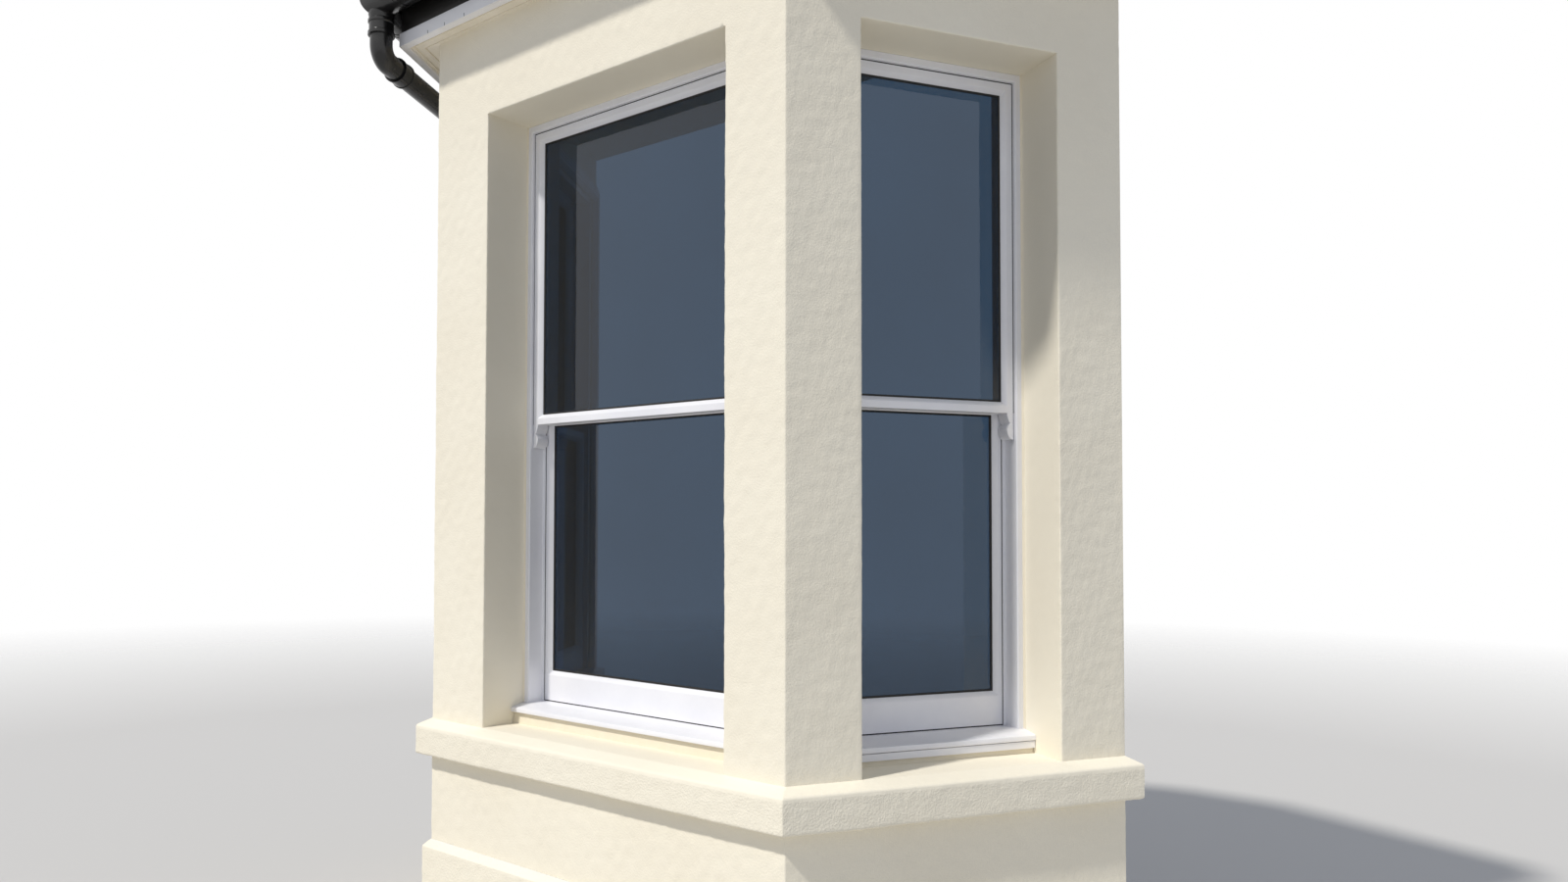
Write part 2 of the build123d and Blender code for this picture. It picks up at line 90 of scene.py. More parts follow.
# Sash members, in the face of each window, and how far behind it the glass lies.
STILE = 0.030
MEETING_RAIL = 0.030
LOWER_TOP_RAIL = 0.035
BOTTOM_RAIL = 0.089
SILL_JOINT = 0.003
HORN_WIDE = 0.018
PANE_BACK = 0.014
PANE_THICK = 0.006
SASH_PLAY = 0.003
# How deep the black seals reach into the gaps round the sashes: brush seals, and painted shade in those
# gaps.
SEAL_AND_SHADE_DEEP = 0.030
POINTING = 0.0045
ARCHITRAVE_OUT = 0.058
MEETING_Z = SILL_TOP + 0.855

# Eaves and roof: the boards stand further out on the cants than on the front.
EAVES_EXTRA = 0.035
EAVES_HALF = HALF_FRONT + EAVES_EXTRA / SIN
BOARD_FACE = FRONT_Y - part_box("gutter_board")[0].y
BOARD_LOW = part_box("gutter_board")[0].z
BOARD_TOP = BOARD_LOW + 0.160
TRIM_OUT = FRONT_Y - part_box("eaves_trim")[0].y
TRIM_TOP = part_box("eaves_trim")[1].z
TRIM_JOINTS = (-0.585, -0.505, -0.415)
BOARD_THICK = 0.018
PITCH = math.tan(math.radians(30.0))
SLOPE = math.hypot(1.0, PITCH)
ROOF_EDGE = FRONT_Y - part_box("roof_front")[0].y
ROOF_THICK = 0.036
SLATE_GAUGE = 0.150
SLATE_WIDE = 0.250
SLATE_LONG = 0.355
SLATE_GAP = 0.003
SLATE_STEP = 0.0054
LEAD_CLEAR = 0.0152

# Gutter and pipe.
GUTTER_R = 0.050
GUTTER_WALL = 0.0025
GUTTER_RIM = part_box("gutter")[1].z - 0.0042
GUTTER_OFF = FRONT_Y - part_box("gutter")[0].y - GUTTER_R
UNION_FRONT = 0.105
UNION_CANT = 0.065
PIPE_R = 0.0325
COLLAR_R = 0.0385
SOCKET_DEEP = 0.060
NECK_SOCKET = 0.100
NECK_DROP = 0.065
NECK_FALL = math.tan(math.radians(3.0))
NECK_BEND = 0.042


def raised(plan, height):
    """Plan points, an array (..., xy), each with its height."""
    height = np.broadcast_to(height, plan.shape[:-1])
    return np.concatenate([plan, height[..., None]], -1)


class Face:
    """One side of the bay: along it, behind it and up are its own directions."""

    def __init__(self, corner, along, outward, mirrored=False):
        self.corner = np.array(corner, float)
        self.along = np.array(along, float)
        self.outward = np.array(outward, float)
        self.turn = np.array([-1.0 if mirrored else 1.0, 1.0, 1.0])

    def place(self, s, d, z):
        """Points at s along the face, d behind it and z up, all arrays of one shape."""
        s, d, z = np.broadcast_arrays(s, d, z)
        plan = self.corner + s[..., None] * self.along - d[..., None] * self.outward
        return raised(plan, z) * self.turn

    def reach(self, node):
        """Lowest and highest (along, behind, up) of a CAD node, seen in this face's directions."""
        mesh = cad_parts[node].data
        points = np.empty(len(mesh.vertices) * 3, np.float32)
        mesh.vertices.foreach_get("co", points)
        points = points.reshape(-1, 3) * self.turn
        plan = points[:, :2] - self.corner
        local = np.stack([plan @ self.along, -(plan @ self.outward), points[:, 2]], -1)
        return local.min(0), local.max(0)


def three_faces(half):
    """The front and both cants, for a front of this half width."""
    cant = (half, FRONT_Y), (COS, SIN), (SIN, -COS)
    return {"front": FRONT, "right": Face(*cant), "left": Face(*cant, mirrored=True)}


FRONT = Face((0, FRONT_Y), (1, 0), (0, -1))
WINDOWS = three_faces(HALF_FRONT)
EAVES = three_faces(EAVES_HALF)
FRONT_SPAN = tuple(float(v[0]) for v in FRONT.reach("front_cill"))
CANT_SPAN = tuple(float(v[0]) for v in WINDOWS["right"].reach("right_cill"))


# Shapes: (points, four-sided faces, closing faces).
def loft(rings, closed=False):
    """Skin through rings of points, an array (ring, point, xyz).

    Each point joins its neighbour in its own ring and in the next ring. A closed loft joins the
    last ring to the first one, and an open loft has a face over each end.
    """
    count, around, _ = rings.shape
    index = np.arange(count * around).reshape(count, around)
    if closed:
        index = np.vstack([index, index[:1]])
    low, high = index[:-1], index[1:]
    quads = np.stack([low, np.roll(low, -1, 1), np.roll(high, -1, 1), high], -1).reshape(-1, 4)
    ends = [] if closed else [index[0, ::-1], index[-1]]
    return outward_faces(rings.reshape(-1, 3), quads, ends)


def outward_faces(points, quads, ends):
    """Turn all faces over if the volume that they enclose comes out negative."""
    middle = points.mean(0)
    a, b, c, d = (points[quads[:, i]] - middle for i in range(4))
    volume = (np.cross(a, b) * c).sum() + (np.cross(a, c) * d).sum()
    if volume < 0:
        quads = quads[:, ::-1]
        ends = [end[::-1] for end in ends]
    return points, quads, ends


def together(shapes):
    """Several shapes as one, side by side in the same arrays."""
    points, quads, ends = [], [], []
    first = 0
    for p, q, e in shapes:
        points.append(p)
        quads.append(q + first)
        ends += [end + first for end in e]
        first += len(p)
    return np.vstack(points), np.vstack(quads), ends


def block(face, s, d, z):
    """Box between pairs of values in a face's own directions."""
    corner_s = np.array([s[0], s[1], s[1], s[0]])
    corner_d = np.array([d[0], d[0], d[1], d[1]])
    rings = np.stack([face.place(corner_s, corner_d, np.full(4, height)) for height in z])
    return loft(rings)


def piece(name, shape, finish, stands_for=(), bevel=0.0, values=None, smooth=32.0):
    """Make the object, ride it on the fixed body and give it its finish.

    values holds the numbers, one for each point, that the finish reads. Edges that turn by more
    than the angle smooth stay sharp, and a bevel rounds the ones past 28 degrees.
    """
    points, quads, ends = shape
    mesh = bpy.data.meshes.new(name)
    mesh.from_pydata(points.tolist(), [], quads.tolist() + [end.tolist() for end in ends])
    mesh.polygons.foreach_set("use_smooth", np.ones(len(mesh.polygons), bool))
    mesh.update()
    mesh.set_sharp_from_angle(angle=math.radians(smooth))
    for label, numbers in (values or {}).items():
        store = mesh.attributes.new(label, "FLOAT", "POINT")
        store.data.foreach_set("value", np.asarray(numbers, np.float32).ravel())
    made = bpy.data.objects.new(name, mesh)
    bpy.context.scene.collection.objects.link(made)
    mesh.materials.append(finish)
    if bevel:
        edge = made.modifiers.new("soft_edges", "BEVEL")
        edge.width = bevel
        edge.segments = 2
        edge.limit_method = "ANGLE"
        edge.angle_limit = math.radians(28)
        edge.harden_normals = True
    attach(made, "root")
    if stands_for:
        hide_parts(*stands_for)
    return made


# Materials. A noise's Scale is one over the width of its lumps in metres.
def colour(code):
    """Linear colour from an sRGB hex value."""
    parts = [int(code[i : i + 2], 16) / 255 for i in (1, 3, 5)]
    linear = [c / 12.92 if c <= 0.04045 else ((c + 0.055) / 1.055) ** 2.4 for c in parts]
    return (*linear, 1.0)


def wire(node, inputs):
    """Set a node's inputs, by name or number, or link them to a socket or another node's result.

    The result of a mix of colours is its third output, and its colours are inputs 6 and 7.
    """
    for label, value in inputs.items():
        if isinstance(value, bpy.types.Node):
            value = value.outputs[2 if value.type == "MIX" else 0]
        if isinstance(value, bpy.types.NodeSocket):
            node.id_data.links.new(value, node.inputs[label])
        else:
            node.inputs[label].default_value = value
    return node


def add(tree, kind, inputs=None, **settings):
    """Add a node with its settings and wire it."""
    made = tree.nodes.new("ShaderNode" + kind)
    for label, value in settings.items():
        setattr(made, label, value)
    return wire(made, inputs or {})


def finish(name, **inputs):
    """New material whose surface shader has these inputs.

    Gives the material, its shader, the way to add a node to it and the place on the object.
    """
    made = bpy.data.materials.new(name)
    made.use_nodes = True
    tree = made.node_tree
    shader = tree.nodes["Principled BSDF"]
    for label, value in inputs.items():
        shader.inputs[label.replace("_", " ")].default_value = value
    node = functools.partial(add, tree)
    return made, shader, node, node("TexCoord").outputs["Object"]


def cream_render():
    """Sand and cement render, float finished and painted with masonry paint.

    The eye sees soft lumps 3 to 8 mm wide on the faces, that sparkle where light grazes them.
    The reveals and sill tops are trowelled smooth, and the inner faces are painted plaster.
    """
    made, shader, node, where = finish("painted_sand_render", Roughness=0.82, IOR=1.45)
    smooth = node("Attribute", attribute_name="trowelled").outputs["Fac"]
    inside = node("Attribute", attribute_name="indoors").outputs["Fac"]
    lumps = node("TexNoise", {"Vector": where, "Scale": 1 / 0.0052, "Detail": 2.0, "Roughness": 0.55})
    grit = node("TexNoise", {"Vector": where, "Scale": 1 / 0.0023, "Detail": 1.0})
    sweep = node("TexNoise", {"Vector": where, "Scale": 1 / 0.034, "Detail": 2.0})
    proud = node("MapRange", {"Value": lumps, "From Min": 0.36, "From Max": 0.68})
    proud = node("Math", {0: proud, 1: 0.8}, operation="MULTIPLY")
    sandy = node("Math", {0: grit, 1: 0.35}, operation="MULTIPLY")
    swept = node("Math", {0: sweep, 1: 0.9}, operation="MULTIPLY")
    height = node("Math", {0: proud, 1: sandy}, operation="ADD")
    height = node("Math", {0: height, 1: swept}, operation="ADD")
    rough = node("MapRange", {"Value": smooth, "To Min": 1.0, "To Max": 0.12})
    height = node("Math", {0: height, 1: rough}, operation="MULTIPLY")

    cloud = node("TexNoise", {"Vector": where, "Scale": 1 / 0.42, "Detail": 4.0, "Roughness": 0.6})
    weathered = node("MapRange", {"Value": cloud, "From Min": 0.35, "From Max": 0.75})
    paint = node("Mix", {0: weathered, 6: colour("#F6EFDC"), 7: colour("#F1E9D5")}, data_type="RGBA")
    fleck = node("MapRange", {"Value": grit, "From Min": 0.66, "From Max": 0.86})
    fleck = node("Math", {0: fleck, 1: 0.10}, operation="MULTIPLY")
    paint = node("Mix", {0: fleck, 6: paint, 7: colour("#B9AC92")}, data_type="RGBA")
    low = node("SeparateXYZ", {0: where}).outputs["Z"]
    low = node("MapRange", {"Value": low, "From Min": 0.24, "From Max": 0.0})
    patch = node("MapRange", {"Value": cloud, "From Min": 0.38, "From Max": 0.70})
    splash = node("Math", {0: low, 1: patch}, operation="MULTIPLY")
    splash = node("Math", {0: splash, 1: 0.45}, operation="MULTIPLY")
    paint = node("Mix", {0: splash, 6: paint, 7: colour("#B8AB90")}, data_type="RGBA")
    paint = node("Mix", {0: inside, 6: paint, 7: colour("#E6E4DC")}, data_type="RGBA")
    wire(shader, {"Base Color": paint, "Normal": node("Bump", {"Height": height, "Distance": 0.0008})})
    return made


def white_joinery():
    """White PVC-U extrusion: smooth and a little glossy, with specks of dust."""
    made, shader, node, where = finish("white_window_extrusion", Roughness=0.30, IOR=1.53)
    cloud = node("TexNoise", {"Vector": where, "Scale": 1 / 0.18, "Detail": 4.0, "Roughness": 0.6})
    aged = node("MapRange", {"Value": cloud, "From Min": 0.35, "From Max": 0.75})
    white = node("Mix", {0: aged, 6: colour("#F2F2F5"), 7: colour("#E9E9EE")}, data_type="RGBA")
    speck = node("TexNoise", {"Vector": where, "Scale": 1 / 0.004, "Detail": 2.0})
    speck = node("MapRange", {"Value": speck, "From Min": 0.70, "From Max": 0.85})
    speck = node("Math", {0: speck, 1: 0.14}, operation="MULTIPLY")
    white = node("Mix", {0: speck, 6: white, 7: colour("#A39F98")}, data_type="RGBA")
    gloss = node("MapRange", {"Value": cloud, "To Min": 0.24, "To Max": 0.42})
    ripple = node("TexNoise", {"Vector": where, "Scale": 1 / 0.05, "Detail": 2.0})
    ripple = node("Bump", {"Height": ripple, "Distance": 0.0004})
    wire(shader, {"Base Color": white, "Roughness": gloss, "Normal": ripple})
    return made


def black_rubber():
    """Black glazing gasket and brush seal: dull, nearly black. Round the sashes and at the glass edges it
    also stands for painted shade in the gaps.
    """
    made, shader, node, where = finish("black_gasket_rubber", Roughness=0.72, IOR=1.5)
    dust = node("TexNoise", {"Vector": where, "Scale": 1 / 0.012, "Detail": 3.0})
    black = node("Mix", {0: dust, 6: colour("#0B0B0C"), 7: colour("#1C1C1D")}, data_type="RGBA")
    wire(shader, {"Base Color": black})
    return made


def window_glass():
    """Double glazing, dark, cool and glossy: its dark blue tone is painted reflection of a blue sky and
    painted shade of the room behind. One sheet stands for each sealed unit.
    """
    made, shader, node, where = finish(
        "glass_painted_sky_and_room_shade", Transmission_Weight=1.0, IOR=1.52, Roughness=0.0
    )
    film = node("TexNoise", {"Vector": where, "Scale": 1 / 0.35, "Detail": 3.0})
    # Dark blue tone: painted reflection of a blue sky and painted shade of the unlit room behind the
    # panes.
    tone = node("Mix", {0: film, 6: colour("#2C4259"), 7: colour("#273A4E")}, data_type="RGBA")
    wave = node("TexNoise", {"Vector": where, "Scale": 1 / 0.55, "Detail": 1.0})
    wave = node("Bump", {"Height": wave, "Distance": 0.0008})
    wire(shader, {"Base Color": tone, "Normal": wave})
    return made


def black_plastic():
    """Black PVC-U rainwater ware: moulded, glossy, faintly rippled along its length."""
    made, shader, node, where = finish("black_rainwater_plastic", Roughness=0.22, IOR=1.53)
    dust = node("TexNoise", {"Vector": where, "Scale": 1 / 0.05, "Detail": 4.0, "Roughness": 0.6})
    dusty = node("MapRange", {"Value": dust, "From Min": 0.45, "From Max": 0.8})
    black = node("Mix", {0: dusty, 6: colour("#121213"), 7: colour("#1F1E1D")}, data_type="RGBA")
    gloss = node("MapRange", {"Value": dust, "To Min": 0.20, "To Max": 0.32})
    ripple = node("TexNoise", {"Vector": where, "Scale": 1 / 0.05, "Detail": 1.0})
    ripple = node("Bump", {"Height": ripple, "Distance": 0.0003})
    wire(shader, {"Base Color": black, "Roughness": gloss, "Normal": ripple})
    return made


def black_board():
    """Timber gutter board in black gloss paint, with faint grain under it."""
    made, shader, node, where = finish("black_gloss_board", Roughness=0.35, IOR=1.5)
    along = node("Mapping", {"Vector": where, "Scale": (1.0, 1.0, 9.0)})
    grain = node("TexNoise", {"Vector": along, "Scale": 1 / 0.06, "Detail": 4.0})
    black = node("Mix", {0: grain, 6: colour("#141413"), 7: colour("#211F1D")}, data_type="RGBA")
    wire(shader, {"Base Color": black, "Normal": node("Bump", {"Height": grain, "Distance": 0.0006})})
    return made


def white_board():
    """Soffit and edge boards in aged cream-white paint."""
    made, shader, node, where = finish("cream_painted_board", Roughness=0.45, IOR=1.5)
    cloud = node("TexNoise", {"Vector": where, "Scale": 1 / 0.14, "Detail": 4.0, "Roughness": 0.6})
    aged = node("MapRange", {"Value": cloud, "From Min": 0.35, "From Max": 0.75})
    white = node("Mix", {0: aged, 6: colour("#F1E9D8"), 7: colour("#E6DCC6")}, data_type="RGBA")
    stain = node("TexNoise", {"Vector": where, "Scale": 1 / 0.012, "Detail": 3.0})
    stain = node("MapRange", {"Value": stain, "From Min": 0.70, "From Max": 0.85})
    stain = node("Math", {0: stain, 1: 0.25}, operation="MULTIPLY")
    white = node("Mix", {0: stain, 6: white, 7: colour("#A8946F")}, data_type="RGBA")
    brushed = node("TexNoise", {"Vector": where, "Scale": 1 / 0.02, "Detail": 3.0})
    brushed = node("Bump", {"Height": brushed, "Distance": 0.0006})
    wire(shader, {"Base Color": white, "Normal": brushed})
    return made


def edge_trim():
    """White plastic edge trim, bright and smooth."""
    made, shader, node, where = finish("white_edge_trim", Roughness=0.28, IOR=1.53)
    cloud = node("TexNoise", {"Vector": where, "Scale": 1 / 0.09, "Detail": 4.0})
    white = node("Mix", {0: cloud, 6: colour("#F4F3F3"), 7: colour("#E4E2E2")}, data_type="RGBA")
    wire(shader, {"Base Color": white})
    return made


def roof_slate():
    """Riven natural slate: blue-grey, each one a little lighter or darker, with fine ridges."""
    made, shader, node, where = finish("riven_slate", Roughness=0.50, IOR=1.55)
    tone = node("Attribute", attribute_name="tone").outputs["Fac"]
    steep = node("Mapping", {"Vector": where, "Scale": (1.0, 1.0, 3.0)})
    riven = node("TexNoise", {"Vector": steep, "Scale": 1 / 0.035, "Detail": 6.0, "Roughness": 0.62})
    slate = node("Mix", {0: tone, 6: colour("#4A5058"), 7: colour("#636A71")}, data_type="RGBA")
    ridge = node("MapRange", {"Value": riven, "From Min": 0.45, "From Max": 0.75})
    ridge = node("Math", {0: ridge, 1: 0.5}, operation="MULTIPLY")
    slate = node("Mix", {0: ridge, 6: slate, 7: colour("#3B3F45")}, data_type="RGBA")
    lichen = node("TexNoise", {"Vector": where, "Scale": 1 / 0.05, "Detail": 5.0, "Roughness": 0.7})
    lichen = node("MapRange", {"Value": lichen, "From Min": 0.60, "From Max": 0.72})
    lichen = node("Math", {0: lichen, 1: 0.35}, operation="MULTIPLY")
    slate = node("Mix", {0: lichen, 6: slate, 7: colour("#8A8A74")}, data_type="RGBA")
    gloss = node("MapRange", {"Value": riven, "To Min": 0.38, "To Max": 0.62})
    riven = node("Bump", {"Height": riven, "Distance": 0.0022})
    wire(shader, {"Base Color": slate, "Roughness": gloss, "Normal": riven})
    return made


def sheet_lead():
    """Milled sheet lead, weathered: dull grey with pale patina and soft dents from dressing."""
    made, shader, node, where = finish("weathered_sheet_lead", Metallic=0.40, Roughness=0.60)
    patina = node("TexNoise", {"Vector": where, "Scale": 1 / 0.05, "Detail": 5.0, "Roughness": 0.6})
    pale = node("MapRange", {"Value": patina, "From Min": 0.35, "From Max": 0.7})
    lead = node("Mix", {0: pale, 6: colour("#7F8387"), 7: colour("#999DA0")}, data_type="RGBA")
    dents = node("TexNoise", {"Vector": where, "Scale": 1 / 0.05, "Detail": 2.0})
    dents = node("Bump", {"Height": dents, "Distance": 0.0022})
    wire(shader, {"Base Color": lead, "Normal": dents})
    return made


def roof_felt():
    """Roof boarding under the slates, with dark felt: only its edge and underside show."""
    made, shader, node, where = finish("dark_roof_felt", Roughness=0.85)
    grain = node("TexNoise", {"Vector": where, "Scale": 1 / 0.006, "Detail": 3.0})
    felt = node("Mix", {0: grain, 6: colour("#2B2927"), 7: colour("#45413C")}, data_type="RGBA")
    wire(shader, {"Base Color": felt, "Normal": node("Bump", {"Height": grain, "Distance": 0.0008})})
    return made


def wall_plaster():
    """Painted gypsum plaster: nearly flat, with roller stipple about 2 mm wide."""
    made, shader, node, where = finish("painted_plaster", Roughness=0.75)
    cloud = node("TexNoise", {"Vector": where, "Scale": 1 / 0.3, "Detail": 3.0})
    paint = node("Mix", {0: cloud, 6: colour("#ECEAE3"), 7: colour("#E2DFD7")}, data_type="RGBA")
    stipple = node("TexNoise", {"Vector": where, "Scale": 1 / 0.0022, "Detail": 2.0})
    stipple = node("Bump", {"Height": stipple, "Distance": 0.0005})
    wire(shader, {"Base Color": paint, "Normal": stipple})
    return made


def pine_boards():
    """Varnished pine floor: straight grain along X with rings drawn out to long streaks."""
    made, shader, node, where = finish("varnished_pine", Roughness=0.38, IOR=1.5)
    tone = node("Attribute", attribute_name="tone").outputs["Fac"]
    along = node("Mapping", {"Vector": where, "Scale": (1.2, 18.0, 6.0)})
    grain = node(
        "TexNoise",
        {"Vector": along, "Scale": 1 / 0.35, "Detail": 5.0, "Roughness": 0.6, "Distortion": 1.2},
    )
    wood = node("Mix", {0: tone, 6: colour("#B98A55"), 7: colour("#9C6F3F")}, data_type="RGBA")
    streak = node("MapRange", {"Value": grain, "From Min": 0.45, "From Max": 0.62})
    streak = node("Math", {0: streak, 1: 0.55}, operation="MULTIPLY")
    wood = node("Mix", {0: streak, 6: wood, 7: colour("#7A5430")}, data_type="RGBA")
    wire(shader, {"Base Color": wood, "Normal": node("Bump", {"Height": grain, "Distance": 0.0006})})
    return made


def bedding_mastic():
    """Cream mastic pointing round the window frames: smooth, slightly yellow."""
    made, shader, node, where = finish("cream_mastic", Roughness=0.55)
    cloud = node("TexNoise", {"Vector": where, "Scale": 1 / 0.03, "Detail": 3.0})
    cream = node("Mix", {0: cloud, 6: colour("#F1E8D3"), 7: colour("#E8DEC6")}, data_type="RGBA")
    wire(shader, {"Base Color": cream, "Normal": node("Bump", {"Height": cloud, "Distance": 0.001})})
    return made


RENDER = cream_render()
WHITE = white_joinery()
GASKET = black_rubber()
GLASS = window_glass()
BLACK = black_plastic()
BOARD = black_board()
CREAM = white_board()
TRIM = edge_trim()
SLATE = roof_slate()
LEAD = sheet_lead()
FELT = roof_felt()
PLASTER = wall_plaster()
PINE = pine_boards()
MASTIC = bedding_mastic()


# Masonry.
class Waves:
    """Unevenness of hand-floated render: the sum of many sine waves through space.

    Their headings and phases are drawn by chance. Their lengths run from the shortest to the
    longest, and a wave's height is its length to the power 0.55, scaled so that the sum has the
    stated height as its usual size.
    """

    def __init__(self, seed, shortest, longest, height, count=26):
        chance = np.random.default_rng(seed)
        heading = chance.normal(size=(count, 3))
        heading /= np.linalg.norm(heading, axis=1, keepdims=True)
        length = shortest * (longest / shortest) ** chance.random(count)
        self.number = heading * (2 * math.pi / length)[:, None]
        self.phase = chance.random(count) * 2 * math.pi
        self.height = (length / longest) ** 0.55
        self.height *= height / np.sqrt((self.height**2).sum() / 2)

    def at(self, points):
        """Sum of the waves at each point."""
        flat = points.reshape(-1, 3)
        total = (np.sin(flat @ self.number.T + self.phase) * self.height).sum(1)
        return total.reshape(points.shape[:-1])


BROAD = Waves(11, 0.10, 0.70, 0.00045)
FINE = Waves(23, 0.016, 0.05, 0.00030)


def uneven(points, away, amount):
    """Points moved along their outward directions by the waves, as much as the amount allows."""
    shift = amount * (BROAD.at(points) + FINE.at(points))
    return points + away * shift[..., None]


def rounded(corners, radii, parts, bends=ARC_BENDS):
    """Closed outline whose corners are arcs and whose sides are divided into equal parts.

    The corners go anticlockwise. At each corner the outward direction turns evenly from one side's
    to the next one's, and the point lies a radius along it from the arc's centre. Gives the points,
    their outward directions and the number of the side that each lies on.
    """
    corners, radii = np.asarray(corners, float), np.asarray(radii, float)
    following = np.roll(corners, -1, 0)
    ahead = following - corners
    ahead /= np.linalg.norm(ahead, axis=1)[:, None]
    behind = np.roll(ahead, 1, 0)
    cross = behind[:, 0] * ahead[:, 1] - behind[:, 1] * ahead[:, 0]
    turns = np.arctan2(cross, (behind * ahead).sum(1))
    trims = np.abs(radii * np.tan(turns / 2))
    points, away, side = [], [], []
    for i, turn in enumerate(turns):
        radius = radii[i] if turn >= 0 else -radii[i]
        normal = np.array([behind[i, 1], -behind[i, 0]])
        centre = corners[i] - behind[i] * trims[i] - normal * radius
        angles = np.linspace(0, turn, bends + 1)
        cos, sin = np.cos(angles), np.sin(angles)
        turned = np.stack([normal[0] * cos - normal[1] * sin, normal[0] * sin + normal[1] * cos], -1)
        start = corners[i] + ahead[i] * trims[i]
        stop = following[i] - ahead[i] * trims[(i + 1) % len(corners)]
        share = np.linspace(0, 1, parts[i] + 1)[1:-1, None]
        points += [centre + radius * turned, start + (stop - start) * share]
        away += [turned, np.repeat([[ahead[i, 1], -ahead[i, 0]]], len(share), 0)]
        side.append(np.full(len(turned) + len(share), i))
    return np.vstack(points), np.vstack(away), np.concatenate(side)


def divided(length, step=RENDER_STEP):
    """How many equal parts of about this step a length has."""
    return max(1, round(length / step))


def bay_lines(off, step, half=HALF_FRONT, radius=CORNER):
    """Plan lines that follow the three faces at given distances out of the wall.

    Each line runs straight along a cant, turns on an arc of this radius, runs along the front, and
    so on. Gives the points as (station, line, xy) and the outward direction at each station.
    """
    off = np.atleast_1d(np.asarray(off, float))
    corner = np.stack([half + off * MITRE, FRONT_Y - off], -1)
    trim = radius * MITRE
    along = np.array([COS, SIN])
    front_end = corner - [trim, 0.0]
    share = np.linspace(0, 1, divided(half, step) + 1)[:, None, None]
    front = front_end * [0.0, 1.0] + front_end * [1.0, 0.0] * share
    angles = np.linspace(0, CANT, 8)[1:-1]
    out = np.stack([np.sin(angles), -np.cos(angles)], -1)
    centre = corner - np.array([math.sin(CANT / 2), -math.cos(CANT / 2)]) * radius / math.cos(CANT / 2)
    arc = centre[None] + radius * out[:, None]
    start = corner + along * trim
    length = (BACK_Y - corner[:, 1]) / SIN
    stop = corner + along * length[:, None]
    share = np.linspace(0, 1, divided(CANT_LENGTH, step) + 1)[:, None, None]
    cant = start + (stop - start) * share
    right = np.concatenate([front, arc, cant])
    normal = np.concatenate(
        [np.repeat([[0.0, -1.0]], len(front), 0), out, np.repeat([[SIN, -COS]], len(cant), 0)]
    )
    line = np.concatenate([right[::-1] * [-1, 1], right[1:]])
    normal = np.concatenate([normal[::-1] * [-1, 1], normal[1:]])
    return line, normal


def opening_weight(line):
    """For each station of a plan line, 1 where a window opening is above or below it, else 0."""
    x, y = line[:, 0], line[:, 1]
    along_cant = (np.abs(x) - HALF_FRONT) * COS + (y - FRONT_Y) * SIN
    on_front = y < FRONT_Y + 0.002
    place = np.where(on_front, x, along_cant)
    low = np.where(on_front, FRONT_SPAN[0], CANT_SPAN[0])
    high = np.where(on_front, FRONT_SPAN[1], CANT_SPAN[1])
    return np.clip(np.minimum(place - low, high - place) / HEM_FADE, 0, 1)


def masonry(name, rings, nodes, trowelled, indoors):
    """Skin of render, with the values at each point of its section that the finish reads."""
    values = {
        "trowelled": np.broadcast_to(trowelled, rings.shape[:2]),
        "indoors": np.broadcast_to(indoors, rings.shape[:2]),
    }
    piece(name, loft(rings), RENDER, nodes, values=values, smooth=60)


def course(name, sides, nodes, hem=None):
    """A masonry course: a section carried round the bay.

    Each row of sides has a corner (distance out, height), the radius of its arc, the parts of the
    side after it, and how uneven, trowelled and much indoors that side is. Over the window openings
    the corner with the number hem is an arc. Elsewhere its points but the last lie behind the face,
    so that the face ends square on the piers.
    """
    corners, radii, parts, *values = zip(*sides)
    section, away, side = rounded(corners, radii, parts)
    amount, trowelled, indoors = (np.array(value, float)[side] for value in values)
    line, normal = bay_lines(section[:, 0], RENDER_STEP)
    rings = raised(line, section[:, 1])
    out = raised(normal[:, None, :] * away[:, :1], away[:, 1])
    amount = np.repeat(amount[None], len(rings), 0)
    if hem is not None:
        arc = np.flatnonzero(side == hem)[: ARC_BENDS + 1]
        square = section.copy()
        square[arc] = corners[hem]
        square[arc[:-1], 0] -= HEM_BACK
        other = raised(bay_lines(square[:, 0], RENDER_STEP)[0], square[:, 1])
        wall_line, _ = bay_lines([0.0], RENDER_STEP)
        weight = opening_weight(wall_line[:, 0])[:, None]
        rings = other + (rings - other) * weight[..., None]
        amount[:, arc[:-1]] *= weight
    rings = uneven(rings, out, amount)
    rings[..., 1] = np.minimum(rings[..., 1], BACK_Y)
    rings[..., 2] = np.maximum(rings[..., 2], 0.0)
    masonry(name, rings, nodes, trowelled, indoors)


def three(stem):
    """Names of a course's three nodes."""
    return [f"{stem}_front", f"{stem}_left", f"{stem}_right"]


